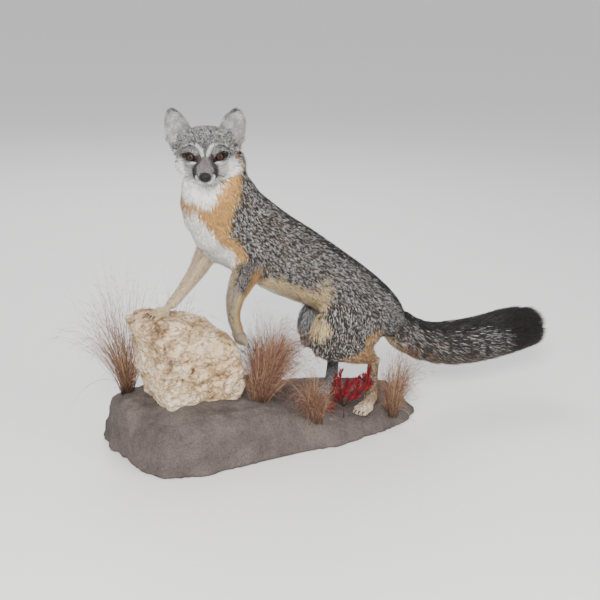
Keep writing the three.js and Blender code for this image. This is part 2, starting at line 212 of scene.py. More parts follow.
def step_up(value, low, high):
    """0 below `low`, 1 above `high`, and smooth between them."""
    share = np.clip((value - low) / (high - low), 0, 1)
    return share * share * (3 - 2 * share)


def place_piece(name, mesh, material, *replaced, slot):
    """Puts a finished mesh on the fox's mount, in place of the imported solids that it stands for."""
    mesh.name = name
    mesh.materials.clear()
    mesh.materials.append(material)
    mesh.polygons.foreach_set("use_smooth", [True] * len(mesh.polygons))
    piece = bpy.data.objects.new(name, mesh)
    bpy.context.collection.objects.link(piece)
    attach(piece, "root")
    if replaced:
        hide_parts(*replaced)
    return piece


def shade_steps(tree, factor, *steps):
    """A run of sRGB shades, each from its place on; gives the colour socket."""
    ramp = tree.nodes.new("ShaderNodeValToRGB")
    while len(ramp.color_ramp.elements) < len(steps):
        ramp.color_ramp.elements.new(0.5)
    for stop, (place, shade) in zip(ramp.color_ramp.elements, steps):
        stop.position = place
        stop.color = (*[c**2.2 for c in shade], 1)
    tree.links.new(factor, ramp.inputs["Fac"])
    return ramp.outputs["Color"]


def grain(tree, kind, size, detail=3.0, rough=0.6, stretch=None):
    """A procedural grain of that size in metres, drawn out by `stretch`; gives its value socket."""
    place = tree.nodes.new("ShaderNodeTexCoord").outputs["Object"]
    if stretch:
        drawn = tree.nodes.new("ShaderNodeMapping")
        drawn.inputs["Scale"].default_value = stretch
        drawn.inputs["Rotation"].default_value = (0.10, -0.16, 0)
        tree.links.new(place, drawn.inputs["Vector"])
        place = drawn.outputs["Vector"]
    cloud = tree.nodes.new("ShaderNodeTexNoise" if kind == "cloud" else "ShaderNodeTexVoronoi")
    cloud.inputs["Scale"].default_value = 1 / size
    cloud.inputs["Detail"].default_value = detail
    cloud.inputs["Roughness"].default_value = rough
    tree.links.new(place, cloud.inputs["Vector"])
    return cloud.outputs["Fac" if kind == "cloud" else "Distance"]


def blend(tree, kind, amount, lower, upper):
    """Mixes two colour sockets or sRGB shades; `amount` is a number or a socket."""
    mix = tree.nodes.new("ShaderNodeMix")
    mix.data_type, mix.blend_type = "RGBA", kind
    for socket, value in (
        (mix.inputs["Factor"], amount), (mix.inputs[6], lower), (mix.inputs[7], upper)
    ):
        if isinstance(value, bpy.types.NodeSocket):
            tree.links.new(value, socket)
        elif isinstance(value, tuple):
            socket.default_value = (*[c**2.2 for c in value], 1)
        else:
            socket.default_value = value
    return mix.outputs[2]


def raise_grain(tree, height, depth, under=None):
    """A bump of that depth in metres, over another bump if one is given."""
    bump = tree.nodes.new("ShaderNodeBump")
    bump.inputs["Distance"].default_value = depth
    bump.inputs["Strength"].default_value = 1.0
    tree.links.new(height, bump.inputs["Height"])
    if under:
        tree.links.new(under, bump.inputs["Normal"])
    return bump.outputs["Normal"]


def dyed(tree, layer):
    """The shade kept at each point of the mesh, as a colour socket."""
    shade = tree.nodes.new("ShaderNodeVertexColor")
    shade.layer_name = layer
    return shade.outputs["Color"]


def new_finish(name, roughness, specular):
    """A new material; gives it, its node tree and its shader."""
    finish = bpy.data.materials.new(name)
    finish.use_nodes = True
    shader = finish.node_tree.nodes["Principled BSDF"]
    shader.inputs["Roughness"].default_value = roughness
    shader.inputs["Specular IOR Level"].default_value = specular
    return finish, finish.node_tree, shader


base_mesh = cast_of(["base"], 0.0040)
ground = points_of(base_mesh)
outward = normals_of(base_mesh)
side_face = step_up(1 - np.abs(outward[:, 2]), 0.25, 0.8)
rock_foot = points_of(cast_of(["rock"], 0.006))
rock_foot = rock_foot[rock_foot[:, 2] < 0.14]
foot_near = KDTree(len(rock_foot))
for k, point in enumerate(rock_foot):
    foot_near.insert(point, k)
foot_near.balance()
from_rock = np.array([foot_near.find(point)[2] for point in ground])
banked = np.exp(-((from_rock / 0.013) ** 2))  # the earth is banked up round the rock
under_fox = step_up(np.hypot((ground[:, 0] - 0.16) / 0.09, (ground[:, 1] + 0.05) / 0.08), 0.8, 1.2)
rise = 0.0042 * lumps(ground, 0.075, 1) + 0.0030 * lumps(ground, 0.030, 2)
rise = rise * (0.35 + 0.65 * under_fox)
rise += 0.0014 * lumps(ground, 0.012, 3) + 0.0008 * lumps(ground, 0.0065, 4)
pits = step_up(lumps(ground, 0.016, 5), 0.45, 0.75) + step_up(lumps(ground, 0.009, 6), 0.55, 0.8)
rise -= 0.0019 * pits
runs = lumps(ground * (1, 1, 0.35), 0.022, 7) * side_face
rise += 0.0022 * runs
lip = step_up(0.016 - ground[:, 2], 0, 0.014) * side_face
bank_rise = 0.0052 + 0.0030 * lumps(ground, 0.018, 9) + 0.0012 * lumps(ground, 0.006, 10)
rise = rise * (1 - banked) + banked * bank_rise
rise += lip * (0.0035 + 0.0045 * lumps(ground * (1, 1, 0.1), 0.028, 8))
rise[outward[:, 2] < -0.7] = 0
ground = ground + outward * rise[:, None]
ground[:, 2] = np.maximum(ground[:, 2], 0)
move_points(base_mesh, ground)

earth, tree, shader = new_finish("painted_earth", 0.95, 0.15)
broad = grain(tree, "cloud", 0.05, 4)
fine = grain(tree, "cloud", 0.0028, 4, 0.75)
specks = grain(tree, "cloud", 0.0011, 2, 0.8)
tone = shade_steps(
    tree, broad, (0.32, (0.345, 0.312, 0.296)), (0.5, (0.388, 0.352, 0.334)),
    (0.68, (0.430, 0.392, 0.370))
)
tone = blend(
    tree, "MULTIPLY", 0.8, tone,
    shade_steps(tree, fine, (0.33, (0.66, 0.66, 0.66)), (0.52, (1, 1, 1)), (0.7, (1, 1, 1)))
)
tone = blend(
    tree, "MIX", shade_steps(tree, specks, (0.63, (0, 0, 0)), (0.72, (0.9, 0.9, 0.9))), tone,
    (0.54, 0.505, 0.48)
)
tree.links.new(tone, shader.inputs["Base Color"])
relief = raise_grain(tree, grain(tree, "cloud", 0.008, 5, 0.7), 0.0050)
relief = raise_grain(tree, fine, 0.0022, relief)
tree.links.new(relief, shader.inputs["Normal"])
place_piece("earth_base", base_mesh, earth, "base", slot="painted_earth")

# ---- Rock --------------------------------------------------------------------------------------
# A light cast block, coloured as ochre limestone: thin wavy beds with dark cracks between them,
# broken edges, and honeycomb pits. Painted shade darkens the cracks and pits, more the deeper
# they are.

rock_mesh = cast_of(["rock"], 0.0021)
stone = points_of(rock_mesh)
outward = normals_of(rock_mesh)
tilted = stone @ np.array(Euler((0.10, -0.16, 0)).to_matrix())
beds = tilted * (1, 1, 1.6) + 0.010 * np.c_[
    lumps(stone, 0.04, 21), lumps(stone, 0.04, 22), lumps(stone, 0.04, 23)
]
cracks = np.maximum(
    step_up(0.16 - np.abs(lumps(beds, 0.040, 24)), 0, 0.14),
    0.8 * step_up(0.16 - np.abs(lumps(beds, 0.021, 25)), 0, 0.14)
)
cracks *= step_up(lumps(stone, 0.045, 26), -0.55, 0.1)
paw_rest = np.ones(len(stone))
for paw_x, paw_y, paw_z in ((-0.228, -0.020, 0.262), (-0.090, -0.055, 0.214)):
    reach = np.linalg.norm((stone - (paw_x, paw_y, paw_z)) / (0.030, 0.026, 0.022), axis=1)
    paw_rest = np.minimum(paw_rest, step_up(reach, 0.9, 1.5))
rise = 0.0036 * lumps(stone, 0.055, 27) + 0.0042 * lumps(beds, 0.036, 28)
rise = rise + 0.0026 * lumps(beds, 0.016, 29)
rise += 0.0014 * lumps(beds, 0.008, 30) + 0.0009 * lumps(stone, 0.0048, 31)
rise -= 0.0030 * cracks
honeycomb = 0.0034 * step_up(lumps(stone, 0.0105, 32), 0.42, 0.7)
rise -= honeycomb * step_up(lumps(stone, 0.05, 33), -0.3, 0.3)
rise -= 0.0022 * step_up(lumps(stone, 0.0060, 34), 0.45, 0.72)
stone = stone + outward * (rise * (0.15 + 0.85 * paw_rest) - 0.0002)[:, None]
move_points(rock_mesh, stone)
hollow_shade_and_cracks = rock_mesh.color_attributes.new("hollow_shade_and_cracks", "FLOAT_COLOR", "POINT")
# painted shade: the deeper a crack or pit, the darker it is painted
hollow = np.clip((0.0010 - rise) / 0.0085, 0, 1)
hollow_shade_and_cracks.data.foreach_set(
    "color", np.c_[hollow, cracks, stone[:, 2] * 0, stone[:, 2] * 0 + 1].ravel()
)

limestone, tree, shader = new_finish("ochre_limestone", 0.92, 0.2)
hollow_shade = tree.nodes.new("ShaderNodeSeparateColor")
tree.links.new(dyed(tree, "hollow_shade_and_cracks"), hollow_shade.inputs["Color"])
broad = grain(tree, "cloud", 0.050, 3)
mottle = grain(tree, "cloud", 0.009, 6, 0.74, (1, 1, 1.3))
hairline = grain(tree, "cloud", 0.024, 6, 0.70, (1, 1, 1.5))
fine = grain(tree, "cloud", 0.0020, 4, 0.75)
pores = grain(tree, "cells", 0.0042, 2)
tone = shade_steps(
    tree, broad, (0.30, (0.79, 0.68, 0.54)), (0.46, (0.85, 0.76, 0.64)), (0.60, (0.90, 0.84, 0.75)),
    (0.74, (0.86, 0.78, 0.66))
)
tone = blend(
    tree, "MULTIPLY", 0.70, tone,
    shade_steps(
        tree, mottle, (0.28, (0.62, 0.53, 0.42)), (0.46, (1, 0.96, 0.90)), (0.60, (1, 1, 1))
    )
)
# painted shade in the cracks and pits, darker the deeper they are
tone = blend(
    tree, "MULTIPLY", 0.80, tone,
    shade_steps(
        tree, hollow_shade.outputs["Red"], (0.0, (1, 1, 1)), (0.35, (0.96, 0.92, 0.86)),
        (0.75, (0.60, 0.51, 0.42)), (1.0, (0.42, 0.35, 0.29))
    )
)
tone = blend(
    tree, "MULTIPLY", 0.55, tone,
    shade_steps(
        tree, hairline, (0.476, (1, 1, 1)), (0.494, (0.42, 0.35, 0.28)),
        (0.502, (0.42, 0.35, 0.28)), (0.520, (1, 1, 1))
    )
)
tone = blend(
    tree, "MULTIPLY", 0.60, tone,
    shade_steps(tree, fine, (0.34, (0.55, 0.48, 0.40)), (0.47, (1, 1, 1)), (0.7, (1, 1, 1)))
)
tree.links.new(tone, shader.inputs["Base Color"])
relief = raise_grain(tree, mottle, 0.0045)
relief = raise_grain(
    tree, shade_steps(tree, hairline, (0.470, (1, 1, 1)), (0.497, (0, 0, 0)), (0.525, (1, 1, 1))),
    0.0014, relief
)
relief = raise_grain(
    tree, shade_steps(tree, pores, (0.10, (0, 0, 0)), (0.42, (1, 1, 1))), 0.0010, relief
)
relief = raise_grain(tree, fine, 0.0014, relief)
tree.links.new(relief, shader.inputs["Normal"])
place_piece("rock_block", rock_mesh, limestone, "rock", slot="tan_stone")

# ---- Skin --------------------------------------------------------------------------------------
# One tanned skin over a foam manikin, from the muzzle to the tip of the tail bone. It lies under
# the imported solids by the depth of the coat, and is tucked in by hand round the eyes and lips.

eye_line = Vector((-0.1815, -0.100, 0.565))
head_turn = Euler((math.radians(2.1), math.radians(11.4), math.radians(-118)), "XYZ")
head_frame = Matrix.Translation(eye_line) @ head_turn.to_matrix().to_4x4()
head_axes = np.array(head_frame.to_3x3())
EYE_RADIUS, EYE_APART, EYE_FORWARD = 0.0082, 0.0446, 8
MOUTH = (
    (58, 0, -32.5), (53, 6, -32), (46, 11.5, -30), (37, 16.5, -28), (27, 20.5, -27), (16, 24, -25)
)


def to_head(points):
    """Points in the head's own frame: +X out along the muzzle, +Y to the fox's left, +Z up."""
    return (points - np.array(eye_line)) @ head_axes


def from_head(points):
    """Points of the head's own frame, in the frame of the mount."""
    return points @ head_axes.T + np.array(eye_line)


def eye_middle(side):
    """The middle of the left (1) or right (-1) eye in the head's frame, in millimetres."""
    return np.array((EYE_FORWARD, EYE_APART * 500 * side, 0))


def bell(value, middle, half):
    """1 at the middle, and falling away evenly to both sides of it."""
    return math.exp(-(((value - middle) / half) ** 2))


def ear_leaf(side):
    """A thin ear, cupped to the front, with a rolled outer edge and two folds inside."""
    leaf = bmesh.new()
    bmesh.ops.create_grid(leaf, x_segments=30, y_segments=40, size=1)
    for point in leaf.verts:
        across, up = point.co.x, (point.co.y + 1) / 2
        wide = 21 * np.interp(
            up, (0, 0.22, 0.42, 0.60, 0.76, 0.88, 0.96, 1),
            (0.80, 0.98, 1.03, 0.99, 0.84, 0.60, 0.34, 0.10)
        )
        high = -24 + 72 * up - 3.0 * (1 - up) * across * side
        turn = across * math.radians(98 - 18 * up)
        cup = 9.5 * (1 - 0.30 * up)
        depth = -cup * math.cos(turn) + 1.5
        fold = 3.2 * bell(across * side, 0.45, 0.13) * bell(up, 0.34, 0.16)
        fold += 2.2 * bell(across * side, -0.15, 0.12) * bell(up, 0.36, 0.18)
        pocket = 3.0 * bell(across * side, 0.92, 0.12) * bell(up, 0.40, 0.07)
        point.co = (
            (depth + fold) / 1000,
            (wide * math.sin(turn) + side * pocket) / 1000,
            (high + 1.5 * math.sin(9 * up + side)) / 1000,
        )
    bmesh.ops.recalc_face_normals(leaf, faces=leaf.faces)
    bmesh.ops.solidify(leaf, geom=leaf.faces[:], thickness=0.0019)
    bmesh.ops.recalc_face_normals(leaf, faces=leaf.faces)
    bmesh.ops.smooth_vert(
        leaf, verts=leaf.verts, factor=0.4, use_axis_x=True, use_axis_y=True, use_axis_z=True
    )
    set_on = Euler((math.radians(-19 * side), math.radians(-4), math.radians(14 * side)), "XYZ")
    leaf.transform(
        head_frame @ Matrix.Translation((-0.030, 0.041 * side, 0.017)) @ set_on.to_matrix().to_4x4()
    )
    return made_mesh(leaf, "ear_leaf")


legs = ["leg_front_left", "leg_front_right", "leg_hind_left", "leg_hind_right"]
casts = {
    "body": cast_of(["neck", "trunk", "tail"], 0.0050, 0.0014),
    "head": cast_of(["head", "eye_left", "eye_right", "nose"], 0.0013, 0.0006),
    **{leg: cast_of([leg], 0.0022 if "front" in leg else 0.0026, 0.0012) for leg in legs},
    "ear_left": ear_leaf(1),
    "ear_right": ear_leaf(-1),
}
near = KDTree(sum(len(cast.vertices) for cast in casts.values()))
part_of, k = [], 0
for part, cast in enumerate(casts.values()):
    for point in points_of(cast):
        near.insert(point, k)
        k += 1
    part_of += [part] * len(cast.vertices)
near.balance()

hide = bpy.data.objects.new("hide", casts["body"])
bpy.context.collection.objects.link(hide)
extras = []
for name, cast in casts.items():
    if name == "body":
        continue
    extra = bpy.data.objects.new(name, cast)
    bpy.context.collection.objects.link(extra)
    extras.append(extra)
    sew = hide.modifiers.new(name, "BOOLEAN")
    sew.operation, sew.solver, sew.object = "UNION", "MANIFOLD", extra
skin_mesh = bpy.data.meshes.new_from_object(
    hide.evaluated_get(bpy.context.evaluated_depsgraph_get())
)
for spare in (hide, *extras):
    bpy.data.objects.remove(spare)
trim = bmesh.new()
trim.from_mesh(skin_mesh)
bmesh.ops.dissolve_degenerate(trim, edges=trim.edges, dist=0.0002)
bmesh.ops.triangulate(trim, faces=trim.faces)
trim.to_mesh(skin_mesh)
trim.free()

hide = points_of(skin_mesh)
parts = list(casts)
member = np.array([part_of[near.find(point)[1]] for point in hide])
is_part = {name: (member == k).astype(float) for k, name in enumerate(parts)}
is_leg = sum(is_part[leg] for leg in legs)
is_ear = is_part["ear_left"] + is_part["ear_right"]
seam = ease(skin_mesh, (member[:, None] == np.arange(len(parts))).astype(float), 10)
seam = step_up(0.97 - seam.max(axis=1), 0.02, 0.25) * (1 - is_ear)
hide = ease(skin_mesh, hide, 24, 0.75 * seam)

# The coat's depth under the outline of the solids, in millimetres.
x, z = (hide * 1000).T[[0, 2]]
face = to_head(hide) * 1000
head_depth = np.interp(face[:, 0], (-84, -40, -15, 5, 22, 40, 56), (13, 9, 8, 5.5, 3.4, 2.4, 1.4))
cheek = 5.5 * step_up(np.abs(face[:, 1]), 30, 46)
head_depth += cheek * step_up(-face[:, 2], -8, 14) * step_up(-face[:, 0], -14, 6)
for side in (1, -1):
    from_eye = np.linalg.norm(face - eye_middle(side), axis=1)
    head_depth *= 1 - 0.68 * np.exp(-((from_eye / 17) ** 2))
tail_depth = np.interp(x, (215, 260, 330, 560, 603), (9, 14, 21, 21, 17))
body_depth = np.where(
    x > 262, tail_depth, np.interp(z, (200, 300, 430, 520, 590), (10.5, 11.5, 13.5, 14.5, 14))
)
fore_depth = np.interp(z, (215, 245, 285, 330, 380), (2.0, 2.2, 3.2, 5.5, 10))
hind_depth = np.interp(z, (30, 70, 130, 165, 230), (2.0, 2.4, 3.4, 6.5, 9.5))
depth = is_part["body"] * body_depth + is_part["head"] * head_depth + 0.15 * is_ear
depth += (is_part["leg_front_left"] + is_part["leg_front_right"]) * fore_depth
depth += (is_part["leg_hind_left"] + is_part["leg_hind_right"]) * hind_depth
coat_depth = ease(skin_mesh, depth, 30, 0.5 * (1 - is_ear))[:, 0] / 1000
even = ease(skin_mesh, normals_of(skin_mesh), 4)
even /= np.linalg.norm(even, axis=1)[:, None]
swell = 0.0011 * (1 - is_ear)
hide = hide - even * (coat_depth + swell)[:, None]
hide = ease(skin_mesh, hide, 3, 0.5 * (1 - is_ear))
move_points(skin_mesh, hide)

# Face: the skin tucked round the eyes and lips while damp. Each dab is a place in the head's frame,
# its reach along the three axes and the push it gives, in millimetres.
face = to_head(points_of(skin_mesh)) * 1000
on_head = is_part["head"][:, None]
for side in (1, -1):
    for place, reach, push in (
        ((13, 15.5, -3), (7, 6, 7), (-2.4, 1.5, 0)),
        ((20, 12, -3), (9, 5, 6), (0, -1.6, 0.4)),
        ((5, 22, 11), (7, 11, 4.5), (1.5, 0.3, 0.6)),
        ((7, 26, -11), (7, 9, 4), (1.0, 0.6, -0.6)),
        ((12, 22, -16), (9, 9, 5), (-2.0, -0.6, 0.6)),
        ((42, 12, -22), (12, 7, 7.5), (0.6, 3.4, -0.6)),
        ((28, 17, -22), (15, 9, 8.5), (0, 2.3, -0.6)),
        ((12, 24, -20), (14, 10, 9), (0, 1.0, -0.4)),
        ((-26, 44, -42), (18, 12, 14), (0, 3.0, -1.5)),
        ((-12, 42, -22), (16, 12, 14), (0, 2.5, -1.0)),
        ((53, 6.5, -28), (5, 5, 3.5), (2.0, 1.2, -1.2)),
    ):
        far = (face - np.array(place) * (1, side, 1)) / reach
        face += np.exp(-(far**2).sum(axis=1))[:, None] * np.array(push) * (1, side, 1) * on_head
    # the mouth: a fine groove from under the nose to its corner below the eye
    mouth = np.array(MOUTH)
    mouth[:, 1] *= side
    gap = np.full(len(face), 99.0)
    for a, b in zip(mouth[:-1], mouth[1:]):
        along = np.clip(((face - a) @ (b - a)) / ((b - a) @ (b - a)), 0, 1)
        gap = np.minimum(gap, np.linalg.norm(face - a - along[:, None] * (b - a), axis=1))
    normal_in = -(normals_of(skin_mesh) @ head_axes)
    face += (normal_in * 1.5 - (0.2, 0, 0)) * np.exp(-((gap / 1.5) ** 2))[:, None] * on_head
    face += -normal_in * 0.7 * np.exp(-(((gap - 3.2) / 1.5) ** 2))[:, None] * on_head
# a shallow furrow down the forehead and bridge, and the chin
for place, reach, push in (
    ((2, 0, 14), (12, 3.5, 14), (-1.0, 0, -0.4)),
    ((30, 0, -3), (16, 6, 6), (0, 0, 0.8)),
    ((48, 0, -37), (9, 8, 5), (1.6, 0, -2.6)),
    ((55, 0, -29), (5, 8, 4), (1.2, 0, -1.6)),
    ((57, 0, -29), (4, 1.4, 3.0), (-1.2, 0, 0)),
):
    far = (face - place) / reach
    face += np.exp(-(far**2).sum(axis=1))[:, None] * np.array(push) * on_head
# the skin drops away behind the nose leather
far = (face - (54, 0, -19)) / (6.5, 8.6, 7.2)
within = np.linalg.norm(far, axis=1)
face[:, 0] -= 3.0 * step_up(1.05 - within, 0, 0.35) * is_part["head"]

# the eyes: each opening is an almond, its outer corner higher, and the lids lie on the glass
eye_axes = {}
for side in (1, -1):
    out = Vector((0.90, 0.43 * side, 0.03)).normalized()
    inner = Vector((0.35, -0.90 * side, -0.17))
    inner = (inner - out * inner.dot(out)).normalized()
    rise = out.cross(inner) * side
    rise = rise if rise.z > 0 else -rise
    eye_axes[side] = np.array((out, inner, rise))


def almond(m, u):
    """How far out a place lies across the eye opening: under 1 is open, 1 is the lid's edge."""
    half = np.where(m > 0, 12.4, 10.8)
    high = np.where(u > 0, 6.3, 5.9)
    return (np.abs(m / half) ** 1.6 + np.abs(u / high) ** 1.6) ** 0.625


def corner_drop(m):
    """How far the eye's line dips towards its inner corner."""
    return 0.034 * np.maximum(m - 2.5, 0) ** 2


def lid_height(m, u):
    """How far forward of the eye's middle the lids lie: over the glass, then to the corners."""
    off_centre = m**2 + u**2
    dome = np.sqrt(np.maximum((EYE_RADIUS * 1000 + 0.9) ** 2 - np.minimum(off_centre, 60), 0))
    return dome - 0.10 * np.maximum(np.sqrt(off_centre) - 7.5, 0) ** 1.5


for side in (1, -1):
    f, m, u = ((face - eye_middle(side)) @ eye_axes[side].T).T
    near_eye = step_up(21 - np.sqrt(m**2 + u**2 + (0.5 * f) ** 2), 0, 6)
    near_eye = near_eye * is_part["head"] * (f > -14)
    open_at = almond(m, u + corner_drop(m))
    lid = lid_height(m, u)
    target = lid + 0.5 + (f - lid - 0.5) * step_up(open_at, 1.35, 2.5)
    target = np.where(open_at < 0.90, np.minimum(target, lid - 5.0), target)
    face += ((target - f) * near_eye)[:, None] * eye_axes[side][0]
hide = from_head(face / 1000)
hide = ease(skin_mesh, hide, 2, 0.35 * is_part["head"])
move_points(skin_mesh, hide)

# ---- Lie and markings of the coat ----------------------------------------------------------------
# The coat is combed from the nose back over the head, down the neck, along the back to the brush
# and down each leg. The markings are those of a grey fox, and dye the skin and the coat alike.

spine = np.array(
    [
        (-130, -50, 585), (-136, -50, 550), (-137, -50, 518), (-130, -50, 482), (-112, -50, 444),
        (-74, -50, 408), (-28, -50, 375), (27, -50, 342), (88, -50, 307), (150, -50, 264),
        (205, -50, 224), (244, -50, 199), (264, -50, 184), (298, -53, 158), (345, -57, 138),
        (397, -62, 130), (450, -68, 129), (505, -75, 135), (548, -81, 140), (582, -84, 139),
        (603, -86, 137),
    ],
    float,
)
leg_lines = {
    "leg_front_left": (
        (-80, -74, 400), (-84, -84, 372), (-97, -88, 345), (-112, -87, 310), (-116, -82, 283),
        (-113, -77, 262), (-104, -70, 242), (-95, -65, 226), (-79, -57, 196)
    ),
    "leg_front_right": (
        (-118, -26, 402), (-126, -14, 382), (-140, -12, 360), (-160, -12, 332), (-186, -15, 303),
        (-216, -18, 281), (-232, -20, 275), (-260, -24, 268)
    ),
    "leg_hind_left": (
        (150, -85, 275), (135, -92, 205), (150, -97, 160), (184, -96, 148), (180, -97, 98),
        (176, -99, 55), (136, -111, 42)
    ),
    "leg_hind_right": (
        (170, -15, 275), (150, -8, 205), (155, -3, 160), (162, -4, 148), (150, -3, 98),
        (144, -1, 58), (104, 3, 48)
    ),
}


def along_line(points, line):
    """The nearest place on a line: how far along it, its direction and the offset from it."""
    line = np.array(line, float)
    runs = np.diff(line, axis=0)
    lengths = np.linalg.norm(runs, axis=1)
    starts = np.r_[0, np.cumsum(lengths)]
    best = np.full(len(points), 1e9)
    travel = np.zeros(len(points))
    way, offset = np.zeros((len(points), 3)), np.zeros((len(points), 3))
    for a, run, length, start in zip(line, runs, lengths, starts):
        part = np.clip((points - a) @ run / length**2, 0, 1)
        aside = points - a - part[:, None] * run
        far = np.linalg.norm(aside, axis=1)
        closer = far < best
        best = np.where(closer, far, best)
        travel[closer] = (start + part * length)[closer]
        way[closer] = run / length
        offset[closer] = aside[closer]
    return travel, way, offset


hide = points_of(skin_mesh)
normal = normals_of(skin_mesh)
world = hide * 1000
travel, spine_way, aside = along_line(world, spine)
spine_way = ease(skin_mesh, spine_way, 6)
dorsal = aside[:, 0] * -spine_way[:, 2] + aside[:, 2] * spine_way[:, 0]
round_back = np.degrees(np.arctan2(-aside[:, 1], dorsal))  # 0 along the back, 180 under the belly
off_back = np.abs(round_back)
face = to_head(hide) * 1000
on_head, on_body = is_part["head"], is_part["body"]
head_back = step_up(-face[:, 0], 30, 66)

lie = spine_way + np.c_[
    np.zeros((len(hide), 2)), -0.22 * np.sin(np.radians(off_back)) ** 2 * (travel > 180)
]
from_nose = face - (66, 0, -20)
from_nose /= np.linalg.norm(from_nose, axis=1)[:, None]
from_nose[:, 2] -= 0.25 * step_up(np.abs(face[:, 1]), 20, 40) * (face[:, 2] < 0)
head_lie = from_nose @ head_axes.T
head_lie = head_lie * (1 - head_back)[:, None] + lie * head_back[:, None]
lie = np.where(on_head[:, None] > 0.5, head_lie, lie)
for leg in legs:
    leg_way = along_line(world, leg_lines[leg])[1]
    leg_way = ease(skin_mesh, leg_way, 4)
    lie = np.where(is_part[leg][:, None] > 0.5, leg_way, lie)
for side in (1, -1):
    ear_part = is_part["ear_left" if side > 0 else "ear_right"]
    inner_face = step_up((normal @ head_axes)[:, 0], 0.1, 0.5)
    ear_way = np.array((-0.08, 0.30 * side, 0.95)) + np.outer(
        inner_face * (np.abs(face[:, 1]) - 46) / 30, (0, -side, 0)
    )
    lie = np.where(ear_part[:, None] > 0.5, ear_way @ head_axes.T, lie)
lie = ease(skin_mesh, lie, 10, 0.5 * (1 - is_ear))
lie -= (lie * normal).sum(axis=1)[:, None] * normal
lie /= np.linalg.norm(lie, axis=1)[:, None] + 1e-9

# Each hair's colour at its root, middle and tip, and how strongly it is ringed with black.
hair = {
    "silver": ((0.55, 0.53, 0.51), (0.82, 0.81, 0.79), (0.80, 0.78, 0.76), 1.0),
    "pepper": ((0.28, 0.26, 0.245), (0.26, 0.245, 0.235), (0.16, 0.145, 0.14), 0.3),
    "ash": ((0.46, 0.46, 0.455), (0.57, 0.57, 0.57), (0.60, 0.60, 0.60), 0.2),
    "rust": ((0.75, 0.64, 0.50), (0.77, 0.60, 0.39), (0.71, 0.53, 0.31), 0.0),
    "brown": ((0.52, 0.43, 0.35), (0.50, 0.39, 0.29), (0.42, 0.32, 0.23), 0.0),
    "cream": ((0.90, 0.88, 0.84), (0.96, 0.945, 0.915), (0.97, 0.955, 0.93), 0.0),
    "buff": ((0.70, 0.62, 0.51), (0.80, 0.70, 0.53), (0.82, 0.72, 0.55), 0.1),
    "black": ((0.21, 0.165, 0.14), (0.12, 0.09, 0.072), (0.075, 0.056, 0.044), 0.0),
    "umber": ((0.30, 0.25, 0.24), (0.30, 0.25, 0.24), (0.22, 0.18, 0.18), 0.0),
}
hair_names = list(hair)
hair_shades = np.array([hair[name][:3] for name in hair_names]) ** 2.2
hair_contrast = np.array([hair[name][3] for name in hair_names])
dye = {name: np.zeros(len(hide)) for name in hair_names}


def brush_on(name, where, silver_share=0.62):
    """Dyes a patch, over whatever is there."""
    where = np.clip(where, 0, 1)
    for other in dye:
        dye[other] *= 1 - where
    if name == "grizzle":
        dye["silver"] += where * silver_share
        dye["pepper"] += where * (1 - silver_share)
    else:
        dye[name] += where


stray = 5 * lumps(hide, 0.022, 41) + 3 * lumps(hide, 0.009, 42)  # the edges of the markings wander
body = 1 - on_head * (1 - head_back) - is_leg - is_ear
brush_on("grizzle", np.ones(len(hide)), 0.35)
brush_on("brown", 0.10 * step_up(lumps(hide, 0.03, 47), -0.5, 1.0))
grey_edge = np.interp(
    travel, (60, 75, 96, 108, 123, 146, 166, 191, 223, 285, 520, 600),
    (60, 66, 82, 98, 112, 121, 129, 134, 142, 146, 150, 158)
) + stray
# the nape turns with the head
nape_turn = np.interp(travel, (50, 75, 110, 150, 190), (80, 55, 35, 12, 0))
grey_off = np.where(round_back < 0, np.maximum(off_back - nape_turn, 0), off_back)
brush_on("rust", step_up(grey_off - grey_edge, -6, 6) * (travel < 250) * body)
side_dip = 15 * step_up(travel, 240, 290) * (1 - 0.7 * step_up(travel, 360, 430)) * (travel < 620)
side_edge = grey_edge - side_dip
brush_on(
    "buff",
    0.85 * step_up(off_back - side_edge, -7, 9) * step_up(travel, 225, 260) * (travel < 620) * body
)
belly_edge = np.interp(travel, (250, 300, 500, 600), (163, 164, 166, 174))
brush_on(
    "cream",
    step_up(off_back - belly_edge - stray, -8, 12) * step_up(travel, 225, 260)
    * (travel < 620) * body
)
bib_half = np.interp(travel, (40, 60, 76, 88, 97, 103), (76, 66, 54, 34, 9, -6))
bib_middle = np.interp(travel, (60, 80, 97), (172, 167, 139))
from_bib = np.abs((round_back - bib_middle + 180) % 360 - 180)
nape = on_head * step_up(face[:, 2], -50, -38)
brush_on(
    "cream", step_up(bib_half - from_bib - 0.6 * stray, -4, 5) * (travel < 106) * body * (1 - nape)
)
chest_edge = np.interp(
    travel, (100, 104, 109, 129, 146, 168, 200, 240), (172, 155, 148, 146, 142, 144, 150, 160)
)
brush_on(
    "cream",
    step_up(off_back - chest_edge - 0.7 * stray, -4, 6) * step_up(travel, 98, 108)
    * step_up(250 - travel, 0, 30) * body
)
ridge = np.interp(
    travel, (80, 150, 250, 350, 430, 520, 600, 640, 726, 800, 846, 870),
    (8, 17, 25, 31, 37, 46, 52, 48, 34, 38, 60, 200)
)
ridge_dark = np.interp(
    travel, (90, 200, 330, 480, 560, 640, 700), (0.50, 0.66, 0.74, 0.80, 0.88, 0.96, 1.0)
)
brush_on("black", step_up(ridge + stray - off_back, -9, 9) * ridge_dark * body)
on_tail = step_up(travel, 610, 640) * on_body
brush_on("pepper", 0.46 * on_tail)
brush_on("brown", 0.30 * step_up(off_back - 85, 0, 60) * on_tail * (travel < 840))
brush_on("black", step_up(travel + 2.0 * stray, 838, 862) * on_body)

